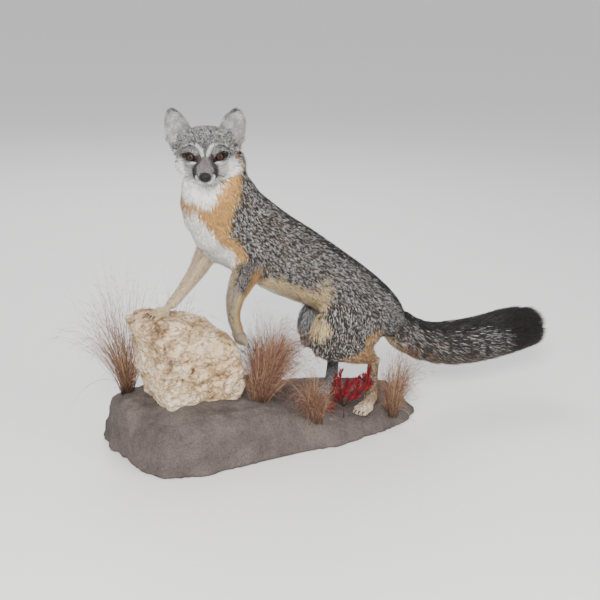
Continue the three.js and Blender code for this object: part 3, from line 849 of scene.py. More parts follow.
for leg in legs:
    leg_aside = along_line(world, leg_lines[leg])[2]
    here, height = is_part[leg], world[:, 2]
    outer = leg_aside[:, 1] * (-1 if "left" in leg else 1)
    spread = np.linalg.norm(leg_aside, axis=1) + 1e-6
    outer_share, front_share = outer / spread, -leg_aside[:, 0] / spread
    if leg == "leg_front_left":
        elbow = step_up(372 + stray - height, -12, 30)
        brush_on(
            "buff",
            0.9 * elbow * step_up(0.55 - outer_share * step_up(height, 300, 350), 0, 0.5) * here
        )
        brush_on("rust", 0.8 * elbow * step_up(-front_share + 0.03 * stray, -0.1, 0.6) * here)
        brush_on("rust", 0.7 * elbow * step_up(-outer_share, 0.0, 0.6) * here)
        speckled = step_up(front_share + 0.25 * outer_share + 0.03 * stray, 0.45, 1.0)
        speckled = speckled * step_up(345 - height, 0, 25)
        brush_on("grizzle", 0.62 * speckled * here, 0.62)
        brush_on("ash", 0.4 * step_up(250 + 0.5 * stray - height, 0, 24) * here)
    elif leg == "leg_front_right":
        brush_on("cream", step_up(398 + stray - height, 0, 14) * here)
        brush_on("buff", 0.8 * here)
        brush_on("rust", 0.35 * step_up(outer_share, 0.2, 0.8) * here)
        brush_on(
            "grizzle", 0.45 * step_up(front_share, 0.5, 0.9) * step_up(330 - height, 0, 25) * here,
            0.7
        )
        brush_on("buff", 0.5 * step_up(290 - height, 0, 18) * here)
    elif leg == "leg_hind_left":
        shin = step_up(front_share + 0.4 * np.abs(outer_share) + 0.03 * stray, 0.0, 0.6)
        hock_top = 178 + 0.28 * (world[:, 0] - 140) + stray
        brush_on("rust", step_up(hock_top - height, 0, 20) * here)
        brush_on(
            "rust",
            0.7 * step_up(-front_share, 0.3, 0.8) * step_up(215 + stray - height, 0, 20) * here
        )
        # brown below the hock: partly the leg's own brown, partly painted shade on the lower leg
        brush_on("brown", 0.75 * step_up(hock_top - height, 0, 20) * step_up(height, 60, 90) * here)
        brush_on(
            "buff",
            0.95 * step_up(80 + 1.5 * stray - world[:, 0], 0, 20)
            * step_up(height + stray, 198, 224) * here
        )
        brush_on("grizzle", 0.5 * shin * step_up(150 - height, 0, 16) * here, 0.7)
        brush_on("buff", 0.8 * step_up(62 + 0.5 * stray - height, 0, 14) * here)
        brush_on("cream", 0.3 * step_up(62 + 0.5 * stray - height, 0, 14) * here)
    else:
        brush_on("ash", 0.75 * step_up(-outer_share, -0.4, 0.2) * here)
        brush_on(
            "brown",
            0.6 * step_up(outer_share, -0.2, 0.4) * step_up(176 + stray - height, 0, 22) * here
        )
        brush_on("buff", 0.5 * step_up(-outer_share, 0.2, 0.7) * step_up(height, 236, 256) * here)
        brush_on("cream", 0.35 * step_up(62 + 0.5 * stray - height, 0, 14) * here)
fold = np.exp(-((((world - (56, -95, 262)) / (25, 36, 38)) ** 2).sum(axis=1)))
brush_on("buff", 1.9 * fold * step_up(86 + stray - world[:, 0], 0, 26))


def dab(name, place, reach, strength=1.0, soft=0.35, both=True, silver_share=0.6):
    """Dyes a rounded patch of the face, on both cheeks."""
    for side in (1, -1) if both else (1,):
        apart = (face - np.array(place) * (1, side, 1)) / reach
        far = np.sqrt((apart**2).sum(axis=1)) + 0.012 * stray
        brush_on(name, strength * step_up(1 + soft - far, 0, 2 * soft) * on_head, silver_share)


def streak(name, line, half, strength=1.0, both=True, silver_share=0.6):
    """Dyes a band along a line of the face, on both cheeks."""
    for side in (1, -1) if both else (1,):
        apart = along_line(face, np.array(line, float) * (1, side, 1))[2]
        far = np.linalg.norm(apart, axis=1) + 0.05 * stray
        brush_on(name, strength * step_up(1.35 * half - far, 0, 0.7 * half) * on_head, silver_share)


brush_on("grizzle", on_head * (1 - head_back), 0.52)
dab("rust", (-66, 46, -10), (20, 22, 34), 0.9)
dab("rust", (-50, 54, 4), (14, 12, 18), 0.8)
dab("rust", (-34, 44, -60), (26, 14, 8), 0.4)
dab("cream", (-3, 37, -27), (27, 19, 16))
dab("cream", (-22, 44, -42), (18, 18, 16))
dab("rust", (-58, 50, -18), (15, 16, 36), 0.95)
dab("cream", (12, 27, -22), (15, 13, 9))
dab("cream", (5, 0, -52), (48, 34, 16), both=False)
dab("cream", (-30, 20, -60), (40, 34, 16))
streak("ash", ((46, 0, -12), (34, 0, -7), (22, 0, -1)), 4.6, 0.6, both=False)
streak("brown", ((10, 0, 4), (22, 0, -1), (36, 0, -8), (50, 0, -13)), 5.5, 0.30, both=False)
streak("umber", ((10, 0, 5), (22, 0, -1), (34, 0, -7)), 1.6, 0.35, both=False)
streak("silver", ((16, 4.5, 1.5), (9, 6.5, 6), (3, 9, 9)), 2.6, 0.8)
streak(
    "cream", ((17, 4.2, 1.0), (9, 6.5, 6), (2, 13.5, 9.5), (-4, 24, 9.0), (-11, 32, 6.0)), 3.4, 0.88
)
streak("pepper", ((20, 0, 0), (9, 0, 7), (-6, 0, 14)), 1.6, 0.85, both=False)
streak("cream", ((17, 13, -9), (14, 22, -11.5), (5, 31, -11), (-6, 37, -7)), 2.6, 0.95)
streak("grizzle", ((-14, 38, -9), (0, 33.5, -16.5), (11, 25, -18.5)), 1.7, 0.75, silver_share=0.3)
streak(
    "umber", ((17, 10.5, -1), (22, 9, -5), (27, 11, -10), (33, 13, -15), (38, 14, -18)), 5.0, 0.92
)
streak("umber", ((32, 16, -18), (40, 16.5, -20), (46, 15.5, -20)), 5.6, 0.95)
streak("black", ((36, 20, -22), (42, 20, -24), (46, 17.5, -27)), 2.4, 0.7)
for side in (1, -1):
    f, m, u = ((face - eye_middle(side)) @ eye_axes[side].T).T
    round_eye = step_up(1.42 - almond(m, u + corner_drop(m)) - 0.03 * stray, 0, 0.25)
    round_eye = round_eye * (np.sqrt(f**2 + m**2 + u**2) < 22)
    brush_on("black", 0.90 * round_eye * on_head)
streak(
    "cream",
    (
        (50, 11.5, -11), (50, 13.4, -15), (49.5, 13.8, -20), (50.5, 12, -26), (53, 6.5, -29.5),
        (54, 0, -30)
    ),
    2.2
)
streak("black", ((57, 0, -33), (52, 6, -32.5), (46, 11.5, -30.5), (39, 15.5, -28.5)), 2.0, 0.95)
ear_forward = (normal @ head_axes)[:, 0]
ear_inner = step_up(ear_forward, 0.0, 0.4) * is_ear
brush_on("grizzle", is_ear * (1 - ear_inner), 0.45)
brush_on("rust", 0.8 * is_ear * (1 - ear_inner) * step_up(36 - face[:, 2], 0, 16))
brush_on("ash", is_ear * ear_inner)
blotch = step_up(lumps(hide, 0.009, 51), -0.6, 0.8)
brush_on("cream", 0.35 * blotch * is_ear * ear_inner)
brush_on("brown", 0.16 * step_up(lumps(hide, 0.007, 52), 0.0, 0.9) * is_ear * ear_inner)
brush_on(
    "pepper",
    0.8 * np.exp(-((ear_forward / 0.25) ** 2)) * is_ear * step_up(face[:, 2] + stray, 14, 34)
)
brush_on("black", 0.9 * step_up(face[:, 2] + 0.5 * stray, 55, 62) * is_ear * (1 - 0.5 * ear_inner))

dye_share = np.stack([dye[name] for name in hair_names], axis=1)
dye_share /= dye_share.sum(axis=1)[:, None] + 1e-9
skin_shade = dye_share @ (hair_shades[:, :2].mean(axis=1) * (1 - 0.62 * hair_contrast)[:, None])
skin_shade *= (0.72 + 0.20 * dye["cream"])[:, None]
skin_shade = np.where(
    (is_ear * ear_inner)[:, None] > 0.5, skin_shade * (1.0, 0.93, 0.90), skin_shade
)
lip_gap = np.full(len(face), 99.0)
for side in (1, -1):
    mouth = np.array(MOUTH)
    mouth[:, 1] *= side
    lip_gap = np.minimum(lip_gap, np.linalg.norm(along_line(face, mouth)[2], axis=1))
bare = np.zeros(len(face))
for side in (1, -1):
    f, m, u = ((face - eye_middle(side)) @ eye_axes[side].T).T
    rim = step_up(1.24 - almond(m, u + corner_drop(m)), 0, 0.14)
    rim = rim * (np.sqrt(f**2 + m**2 + u**2) < 22)
    bare = np.maximum(bare, rim)
nose_reach = np.linalg.norm((face - (54, 0, -19.3)) / (7.5, 9.8, 8.6), axis=1)
bare = np.maximum(bare, step_up(1.12 - nose_reach, 0, 0.12))
bare = np.maximum(bare, step_up(2.0 - lip_gap, 0, 0.9) * (face[:, 0] > 34)) * on_head
skin_shade = skin_shade * (1 - bare[:, None]) + np.array((0.012, 0.009, 0.009)) * bare[:, None]

coat_tint = skin_mesh.color_attributes.new("coat_tint", "FLOAT_COLOR", "POINT")
coat_tint.data.foreach_set("color", np.c_[skin_shade, np.ones(len(hide))].ravel())
skin_paint, tree, shader = new_finish("coat_skin", 0.8, 0.25)
down_hair = grain(tree, "cloud", 0.0016, 3, 0.7)
tone = blend(
    tree, "MULTIPLY", 0.5, dyed(tree, "coat_tint"),
    shade_steps(tree, down_hair, (0.3, (0.6, 0.6, 0.6)), (0.7, (1, 1, 1)))
)
tree.links.new(tone, shader.inputs["Base Color"])
tree.links.new(raise_grain(tree, down_hair, 0.0008), shader.inputs["Normal"])
place_piece(
    "fox_skin", skin_mesh, skin_paint, "head", "ear_left", "ear_right", "neck", "trunk", "tail",
    *legs, slot="coat_grizzled"
)

# ---- Coat --------------------------------------------------------------------------------------
# Guard hair in fine tufts, each a closed sliver rooted in the skin, rising to the outline of the
# solids and bent over to lie along the body. Those of the face, ears and forelegs are straight.

corners = np.empty(len(skin_mesh.loops), dtype=np.int64)
skin_mesh.loops.foreach_get("vertex_index", corners)
corners = corners.reshape(-1, 3)
a, b, c = (hide[corners[:, k]] for k in range(3))
patch_area = np.linalg.norm(np.cross(b - a, c - a), axis=1) / 2
coat_paint, tree, shader = new_finish("coat_hair", 0.60, 0.12)
shader.inputs["Sheen Weight"].default_value = 0.05
place = tree.nodes.new("ShaderNodeSeparateColor")
tree.links.new(dyed(tree, "hair_bands"), place.inputs["Color"])
ringed = shade_steps(
    tree, place.outputs["Red"], (0.0, (0.42, 0.40, 0.38)), (0.54, (0.30, 0.28, 0.27)),
    (0.62, (1, 1, 1)), (0.80, (1, 1, 1)), (0.88, (0.20, 0.18, 0.17)), (1.0, (0.14, 0.13, 0.12)),
)
tone = blend(tree, "MIX", place.outputs["Green"], (1.0, 1.0, 1.0), ringed)
tree.links.new(
    blend(tree, "MULTIPLY", 1.0, dyed(tree, "hair_tint"), tone), shader.inputs["Base Color"]
)


def mesh_of(name, points, faces):
    """A mesh from its points and its three-cornered faces."""
    piece = bpy.data.meshes.new(name)
    piece.vertices.add(len(points))
    piece.vertices.foreach_set("co", points.ravel())
    piece.loops.add(faces.size)
    piece.loops.foreach_set("vertex_index", faces.ravel().astype(np.int32))
    piece.polygons.add(len(faces))
    piece.polygons.foreach_set("loop_start", np.arange(len(faces)) * 3)
    piece.update(calc_edges=True)
    return piece


def lay_coat(
    name, thick, count, length, width, spread_out, slot, bent=True, gather=0.25, lock_size=6,
    wild=0.16, rise=1.0, seed=1
):
    """Combs one piece of the coat. `thick` says how thickly each point of the skin is haired, and
    `spread_out` gives each root its place on a flat pattern of the piece."""
    pick = np.random.default_rng(seed)
    share = np.cumsum(patch_area * thick[corners].mean(axis=1))
    spots = np.searchsorted(share, (np.arange(count) + pick.random(count)) * share[-1] / count)
    spots = np.minimum(spots, len(corners) - 1)
    r, q = np.sqrt(pick.random(count)), pick.random(count)
    mixed = np.stack([1 - r, r * (1 - q), r * q], axis=1)[:, :, None]

    def at_root(values):
        values = values if values.ndim > 1 else values[:, None]
        return (values[corners[spots]] * mixed).sum(axis=1)

    root, up = at_root(hide), at_root(normal)
    up /= np.linalg.norm(up, axis=1)[:, None]
    way = at_root(lie)
    across = np.cross(up, way)
    across /= np.linalg.norm(across, axis=1)[:, None] + 1e-9
    turn = pick.normal(0, wild, count)[:, None]
    way = np.cross(across, up) * np.cos(turn) + across * np.sin(turn)
    across = np.cross(up, way)
    long = at_root(length)[:, 0] * pick.uniform(0.78, 1.18, count)
    high = at_root(coat_depth * rise)[:, 0] * pick.uniform(0.78, 1.06, count)
    high = np.minimum(high, 0.93 * long)
    reach = np.sqrt(long**2 - high**2)
    tip = root + way * reach[:, None] + up * high[:, None]
    if gather:
        leaders = np.arange(0, count, lock_size)
        lock = KDTree(len(leaders))
        for k, place in enumerate(tip[leaders]):
            lock.insert(place, k)
        lock.balance()
        follow = leaders[[lock.find(place)[1] for place in tip]]
        pull = np.clip(1 - np.linalg.norm(tip[follow] - tip, axis=1) / (0.5 * long), 0, 1)
        tip += (tip[follow] - tip) * (gather * pull * pick.uniform(0.4, 1, count))[:, None]
    thin = at_root(width)[:, 0] * pick.uniform(0.7, 1.25, count)
    sides = []
    for turn in (0.5, 2.6, 4.7):
        sides.append(
            across * math.cos(turn) + up * (0.5 * math.sin(turn)) - way * 0.4 * math.sin(turn)
        )
    base = root - up * 0.0006
    if bent:
        middle = root + way * (0.44 * reach)[:, None] + up * (0.82 * high)[:, None]
        points = [base] + [middle + s * (0.52 * thin)[:, None] for s in sides] + [tip]
        faces = ((0, 2, 1), (0, 3, 2), (0, 1, 3), (1, 2, 4), (2, 3, 4), (3, 1, 4))
        levels, along = (0, 1, 1, 1, 2), (0, 0.5, 0.5, 0.5, 1)
        nudges = ((0, -1), (-1, 0), (0, 0), (1, 0), (0, 1))
    else:
        points = [base + s * (0.42 * thin)[:, None] for s in sides] + [tip]
        faces = ((0, 2, 1), (0, 1, 3), (1, 2, 3), (2, 0, 3))
        levels, along = (1, 1, 1, 2), (0.3, 0.3, 0.3, 1)
        nudges = ((-1, -1), (1, -1), (0, -1), (0, 1))
    each = len(points)
    points = np.stack(points, axis=1).reshape(-1, 3)
    faces = (np.array(faces)[None] + (np.arange(count) * each)[:, None, None]).reshape(-1, 3)

    share = np.cumsum(at_root(dye_share), axis=1)
    kind = np.minimum(
        (pick.random(count)[:, None] * share[:, -1:] > share).sum(axis=1), len(hair_names) - 1
    )
    bright, grown = pick.uniform(0.82, 1.20, count), pick.uniform(0.90, 1.14, count)
    if gather:  # hairs of one lock mostly share their colour and their rings
        alike = pick.random(count) < 0.26
        kind, bright, grown = (
            np.where(alike, value[follow], value) for value in (kind, bright, grown)
        )
    shade = hair_shades[kind][:, list(levels)] * bright[:, None, None]
    ring = np.clip(np.array(along)[None] * grown[:, None], 0, 1)
    contrast = np.repeat(hair_contrast[kind][:, None], each, axis=1)

    piece = mesh_of(name, points, faces)
    tints = piece.color_attributes.new("hair_tint", "BYTE_COLOR", "POINT")
    tints.data.foreach_set(
        "color", np.concatenate([shade, np.ones((count, each, 1))], axis=2).ravel().clip(0, 1)
    )
    rings = piece.color_attributes.new("hair_bands", "FLOAT_COLOR", "POINT")
    rings.data.foreach_set(
        "color", np.stack([ring, contrast, ring * 0, ring * 0 + 1], axis=2).ravel()
    )
    flat = spread_out(root * 1000)
    low, high_corner = flat.min(axis=0), flat.max(axis=0)
    flat = 0.004 + 0.992 * (flat - low) / (high_corner - low + 1e-9)
    flat = (flat[:, None] + 0.0015 * np.array(nudges)[None]).reshape(-1, 2)
    pattern = piece.uv_layers.new(name="OFBake")
    pattern.data.foreach_set("uv", flat[faces.ravel()].ravel())
    return place_piece(name, piece, coat_paint, slot=slot)


def wrap_body(points):
    """Opened along the belly: length along the back one way, the way round it the other."""
    travel, way, aside = along_line(points, spine)
    dorsal = aside[:, 0] * -way[:, 2] + aside[:, 2] * way[:, 0]
    return np.c_[travel, np.degrees(np.arctan2(-aside[:, 1], dorsal))]


def wrap_head(points):
    """Opened round the muzzle's axis: the way round one way, from nose to nape the other."""
    local = to_head(points / 1000) * 1000 - (-20, 0, -12)
    return np.c_[
        np.degrees(np.arctan2(local[:, 1], local[:, 2])),
        np.degrees(np.arctan2(local[:, 0], np.hypot(local[:, 1], local[:, 2])))
    ]


def wrap_legs(points):
    """Each leg opened along its back, the legs side by side."""
    best, flat = np.full(len(points), 1e9), np.zeros((len(points), 2))
    for k, leg in enumerate(legs):
        down, way, aside = along_line(points, leg_lines[leg])
        far = np.linalg.norm(aside, axis=1)
        closer = far < best
        best = np.where(closer, far, best)
        around = np.arctan2(aside[:, 1], aside[:, 0]) / math.pi
        flat[closer] = np.c_[(k % 2) * 2.2 + around, down + 400 * (k // 2)][closer]
    return flat


def wrap_ears(points):
    """Ears side by side, the back of each beside its front."""
    local = to_head(points / 1000) * 1000
    behind = local[:, 0] < -30
    return np.c_[local[:, 1] + 60 * behind * np.sign(local[:, 1]), local[:, 2]]


one = np.ones(len(hide))
bare_tip = 1 - step_up(bare, 0.25, 0.6)
muzzle = step_up(face[:, 0] + 0.25 * (20 - face[:, 2]) + 0.6 * stray, -10, 10) * on_head
crown = (1 - muzzle) * on_head
neck_part = on_body * step_up(190 - travel, -12, 12)
tail_part = on_body * step_up(travel, 592, 612)
mid_part = on_body * (1 - neck_part) * (1 - tail_part)
fore_part = mid_part * step_up(365 - travel, -12, 12)
hind_part = mid_part - fore_part

face_long = np.interp(face[:, 0], (-8, 4, 14, 26, 50), (9.0, 7.0, 5.4, 4.4, 3.2)) / 1000
ruff = step_up(np.abs(face[:, 1]), 26, 46) * step_up(-face[:, 2], 18, 38)
head_long = 0.0092 + 0.0150 * ruff + 0.0090 * step_up(-face[:, 0], 44, 72)
temple = step_up(np.abs(face[:, 1]), 34, 46) * step_up(face[:, 2], -28, -12)
head_rise = 1 + 0.5 * ruff - 0.5 * temple
body_long = np.interp(travel, (60, 150, 300, 520, 610), (22, 22, 20.5, 21, 28)) / 1000
belly_fringe = step_up(off_back, 128, 150) * step_up(travel, 250, 290)
belly_fringe = belly_fringe * step_up(560 - travel, 0, 40)
body_long += 0.008 * belly_fringe
tail_long = np.minimum(
    np.interp(travel, (600, 650, 720, 900), (32, 40, 44, 46)), np.maximum(966 - travel, 16)
) / 1000
fore_legs = is_part["leg_front_left"] + is_part["leg_front_right"]
hind_legs = is_part["leg_hind_left"] + is_part["leg_hind_right"]
leg_long = np.where(
    fore_legs > 0.5, np.interp(world[:, 2], (205, 250, 300, 345, 380), (5, 6, 8, 13, 20)),
    np.interp(world[:, 2], (35, 70, 130, 160, 200, 260), (5, 6, 8, 11, 17, 22))
) / 1000

lay_coat(
    "coat_face", muzzle * bare_tip * (0.6 + step_up(face[:, 0], 0, 25)), count=44000,
    length=face_long, width=one * 0.0006, spread_out=wrap_head, slot="coat_grizzled",
    bent=False, gather=0, wild=0.16, rise=0.95, seed=11
)
lay_coat(
    "coat_crown", crown * bare_tip * (1 + 0.5 * ruff - 0.45 * step_up(-face[:, 0], 52, 70)),
    count=33000, length=head_long, width=0.00068 + 0.00022 * ruff, spread_out=wrap_head,
    slot="coat_grizzled", gather=0.12, wild=0.2, rise=head_rise, seed=12
)
lay_coat(
    "coat_ears", is_ear, count=14000, length=one * 0.0052, width=one * 0.0006,
    spread_out=wrap_ears, slot="coat_grizzled", bent=False, gather=0, wild=0.25, rise=6.0, seed=13
)
# the pale and the orange fur is softer and lies closer
soft_pale = dye["cream"] + 0.6 * dye["rust"]
body_wide = 0.00090 * (1 + 0.35 * soft_pale)
lay_coat(
    "coat_neck", neck_part * (1 + 0.3 * soft_pale), count=32000, length=body_long, width=body_wide,
    spread_out=wrap_body, slot="coat_grizzled", gather=0.12, lock_size=4, seed=14
)
lay_coat(
    "coat_shoulders", fore_part, count=31500, length=body_long, width=body_wide,
    spread_out=wrap_body, slot="coat_grizzled", gather=0.16, lock_size=4, seed=15
)
lay_coat(
    "coat_flanks", hind_part, count=31500, length=body_long, width=body_wide,
    spread_out=wrap_body, slot="coat_grizzled", gather=0.16, lock_size=4, seed=16
)
lay_coat(
    "coat_brush", tail_part, count=32000, length=tail_long, width=one * 0.0010,
    spread_out=wrap_body, slot="coat_brush", gather=0.35, lock_size=9, wild=0.15, seed=17
)
lay_coat(
    "coat_forelegs", fore_legs, count=30000, length=leg_long, width=one * 0.0008,
    spread_out=wrap_legs, slot="coat_pale", bent=False, gather=0, seed=18
)
lay_coat(
    "coat_hindlegs", hind_legs * (1 + 1.2 * step_up(160 - world[:, 2], 0, 20)), count=30000,
    length=leg_long, width=np.interp(world[:, 2], (140, 180), (0.0007, 0.00095)),
    spread_out=wrap_legs, slot="coat_pale", gather=0.15, seed=19
)

# ---- Eyes --------------------------------------------------------------------------------------
# Blown glass eyes, painted behind: a small dark pupil in a red-brown iris with a black edge. They
# sit in dark sockets, under lids that are modelled and painted black.

glass, tree, shader = new_finish("glass_eye", 0.10, 0.1)
shader.inputs["Coat Weight"].default_value = 0.42
shader.inputs["Coat Roughness"].default_value = 0.015
eye_map = tree.nodes.new("ShaderNodeUVMap")
eye_map.uv_map = "eye_map"
split = tree.nodes.new("ShaderNodeSeparateXYZ")
tree.links.new(eye_map.outputs["UV"], split.inputs[0])
rays = tree.nodes.new("ShaderNodeTexNoise")
rays.inputs["Scale"].default_value = 1.0
rays.inputs["Detail"].default_value = 3
stretch = tree.nodes.new("ShaderNodeMapping")
stretch.inputs["Scale"].default_value = (90, 9, 1)
tree.links.new(eye_map.outputs["UV"], stretch.inputs["Vector"])
tree.links.new(stretch.outputs["Vector"], rays.inputs["Vector"])
iris = shade_steps(
    tree, split.outputs["Y"], (0.0, (0.05, 0.03, 0.03)), (0.700, (0.06, 0.035, 0.03)),
    (0.735, (0.13, 0.075, 0.07)), (0.80, (0.24, 0.135, 0.115)),
    (0.875, (0.30, 0.165, 0.135)), (0.905, (0.18, 0.10, 0.08)), (0.918, (0.03, 0.02, 0.02)),
    (1.0, (0.02, 0.012, 0.012)),
)
streaks = shade_steps(tree, rays.outputs["Fac"], (0.35, (0.45, 0.42, 0.40)), (0.6, (1, 1, 1)))
tree.links.new(blend(tree, "MULTIPLY", 0.8, iris, streaks), shader.inputs["Base Color"])
lid_black, tree, shader = new_finish("lid_black", 0.62, 0.2)
shader.inputs["Base Color"].default_value = (0.011, 0.009, 0.009, 1)
tree.links.new(raise_grain(tree, grain(tree, "cloud", 0.0007, 2), 0.00025), shader.inputs["Normal"])
socket_dark, tree, shader = new_finish("socket_dark", 0.5, 0.1)
shader.inputs["Base Color"].default_value = (0.020, 0.009, 0.008, 1)

for side, node in ((1, "eye_left"), (-1, "eye_right")):
    middle = Vector((0.008, EYE_APART / 2 * side, 0))
    gaze = Vector((0.965, 0.25 * side, 0.03)).normalized()
    ball = bmesh.new()
    ball.loops.layers.uv.new("eye_map")
    bmesh.ops.create_uvsphere(ball, u_segments=48, v_segments=32, radius=EYE_RADIUS, calc_uvs=True)
    for point in ball.verts:
        front = point.co.z / EYE_RADIUS
        if front > 0.66:
            point.co *= 1 + 0.055 * step_up(front, 0.66, 0.95)
    ball.transform(
        head_frame @ Matrix.Translation(middle) @ gaze.to_track_quat("Z", "Y").to_matrix().to_4x4()
    )
    place_piece(f"glass_{node}", made_mesh(ball, node), glass, node, slot="glass_eye")

    axes = eye_axes[side]
    socket = bmesh.new()
    bmesh.ops.create_uvsphere(socket, u_segments=28, v_segments=16, radius=1)
    for point in socket.verts:
        f, m, u = -0.4 + 4.6 * point.co.z, 12.0 * point.co.x + 0.9, 6.2 * point.co.y
        u -= float(corner_drop(np.array(m)))
        point.co = Vector((np.array(middle) * 1000 + (f, m, u) @ axes) / 1000)
    socket.normal_update()
    bmesh.ops.recalc_face_normals(socket, faces=socket.faces)
    socket.transform(head_frame)
    place_piece(f"socket_{node}", made_mesh(socket, "socket"), socket_dark, slot="nose_leather")

    lid = bmesh.new()
    ring = bmesh.ops.create_circle(lid, segments=8, radius=0.3)["verts"]
    bmesh.ops.rotate(lid, verts=ring, matrix=Matrix.Rotation(math.pi / 2, 3, "X"), cent=(0, 0, 0))
    bmesh.ops.translate(lid, verts=ring, vec=(1, 0, 0))
    bmesh.ops.spin(
        lid, geom=lid.verts[:] + lid.edges[:], cent=(0, 0, 0), axis=(0, 0, 1), angle=2 * math.pi,
        steps=64, use_merge=True
    )
    bmesh.ops.remove_doubles(lid, verts=lid.verts, dist=1e-5)
    for point in lid.verts:
        around = math.atan2(point.co.y, point.co.x)
        section = math.atan2(point.co.z, math.hypot(point.co.x, point.co.y) - 1)
        edge = 1 / float(almond(np.array(math.cos(around)), np.array(math.sin(around))))
        edge += 0.35 + 0.75 * math.cos(section)
        m, u = edge * math.cos(around), edge * math.sin(around)
        u -= float(corner_drop(np.array(m)))
        brow = 0.30 * max(math.sin(around), 0)
        f = float(lid_height(m, u)) - 0.35 + brow
        f = f + 0.62 * math.sin(section) - 0.35 * math.cos(section)
        point.co = Vector((np.array(middle) * 1000 + (f, m, u) @ axes) / 1000)
    lid.normal_update()
    bmesh.ops.recalc_face_normals(lid, faces=lid.faces)
    lid.transform(head_frame)
    place_piece(f"lid_{node}", made_mesh(lid, "lid"), lid_black, slot="nose_leather")

# ---- Nose --------------------------------------------------------------------------------------
# Pebbled black leather, modelled in epoxy: comma-shaped nostrils, a wing outside each, and a furrow
# down the middle to the lip.

nose = bmesh.new()
bmesh.ops.create_uvsphere(nose, u_segments=72, v_segments=48, radius=1)
for point in nose.verts:
    x, y, z = point.co
    wide = 9.9 * (1 - 0.24 * float(step_up(-z, 0.05, 1.0)) - 0.10 * float(step_up(z, 0.4, 1)))
    square = 1 + 0.10 * (1 - x * x) * (1 - abs(y))
    place = np.array((6.6 * x * square, wide * y, 8.4 * z))
    if x > -0.3:
        for edge in (1, -1):
            hole = np.linalg.norm((place - (4.6, 4.3 * edge, 0.9)) / (3.4, 1.75, 1.9))
            slit = np.linalg.norm((place - (2.9, 7.1 * edge, -0.8)) / (3.0, 2.4, 0.75))
            wing = np.linalg.norm((place - (4.0, 5.6 * edge, 3.3)) / (3.0, 3.4, 1.5))
            sunk = -3.3 * math.exp(-(hole**4)) - 1.5 * math.exp(-(slit**2))
            place[0] += sunk + 0.75 * math.exp(-(wing**2))
        furrow = 0.95 * math.exp(-((place[1] / 0.65) ** 2))
        place[0] -= furrow * float(step_up(2.2 - place[2], 0, 3))
    point.co = Vector(place / 1000)
nose.transform(
    head_frame @ Matrix.Translation((0.0528, 0, -0.0193))
    @ Matrix.Rotation(math.radians(12), 4, "Y")
)
leather, tree, shader = new_finish("nose_leather", 0.45, 0.22)
shader.inputs["Base Color"].default_value = (0.010, 0.009, 0.010, 1)
pebble = raise_grain(tree, grain(tree, "cells", 0.00075), 0.0003)
tree.links.new(pebble, shader.inputs["Normal"])
place_piece("nose_pad", made_mesh(nose, "nose"), leather, "nose", slot="nose_leather")

# ---- Whiskers and claws --------------------------------------------------------------------------
# The fox's own whiskers, set in rows on the lip, and its own horn claws on every toe.


def draw_out(bm, path, radii, sides=3):
    """Draws a closed, tapering thread along a path of points."""
    path = [Vector(p) for p in path]
    rings = []
    for k, place in enumerate(path[:-1]):
        way = (path[k + 1] - path[max(k - 1, 0)]).normalized()
        turn = way.to_track_quat("Z", "Y").to_matrix()
        ring = [
            bm.verts.new(place + turn @ Vector((radii[k] * math.cos(a), radii[k] * math.sin(a), 0)))
            for a in np.arange(sides) * 2 * math.pi / sides
        ]
        rings.append(ring)
    tip = bm.verts.new(path[-1])
    bm.faces.new(rings[0][::-1])
    for low, high in zip(rings, rings[1:]):
        for k in range(sides):
            bm.faces.new((low[k], low[(k + 1) % sides], high[(k + 1) % sides], high[k]))
    for k in range(sides):
        bm.faces.new((rings[-1][k], rings[-1][(k + 1) % sides], tip))


pick = np.random.default_rng(5)
whiskers = bmesh.new()
for side in (1, -1):
    for row in range(4):
        for k in range(5):
            off_lip = (9.5 + 1.05 * k + 0.3 * row) * side
            start = np.array((47 - 4.4 * k - 0.8 * row, off_lip, -17 - 2.7 * row + 0.5 * k))
            rise = 0.10 - 0.22 * row + pick.normal(0, 0.08)
            way = np.array((-0.15 - 0.10 * k, (1.0 - 0.06 * k) * side, rise))
            way /= np.linalg.norm(way)
            long = (24 + 5.5 * k) * pick.uniform(0.8, 1.15)
            path = [
                start + way * long * t + np.array((-0.30 * long * t * t, 0, -0.16 * long * t * t))
                for t in np.linspace(-0.06, 1, 7)
            ]
            draw_out(
                whiskers, [Vector(from_head(p[None] / 1000)[0]) for p in path],
                np.linspace(0.00022, 0.00006, 7)
            )
whisker_hair, tree, shader = new_finish("whisker_hair", 0.4, 0.4)
shader.inputs["Base Color"].default_value = (0.02, 0.017, 0.016, 1)
place_piece("whiskers", made_mesh(whiskers, "whiskers"), whisker_hair, slot="nose_leather")

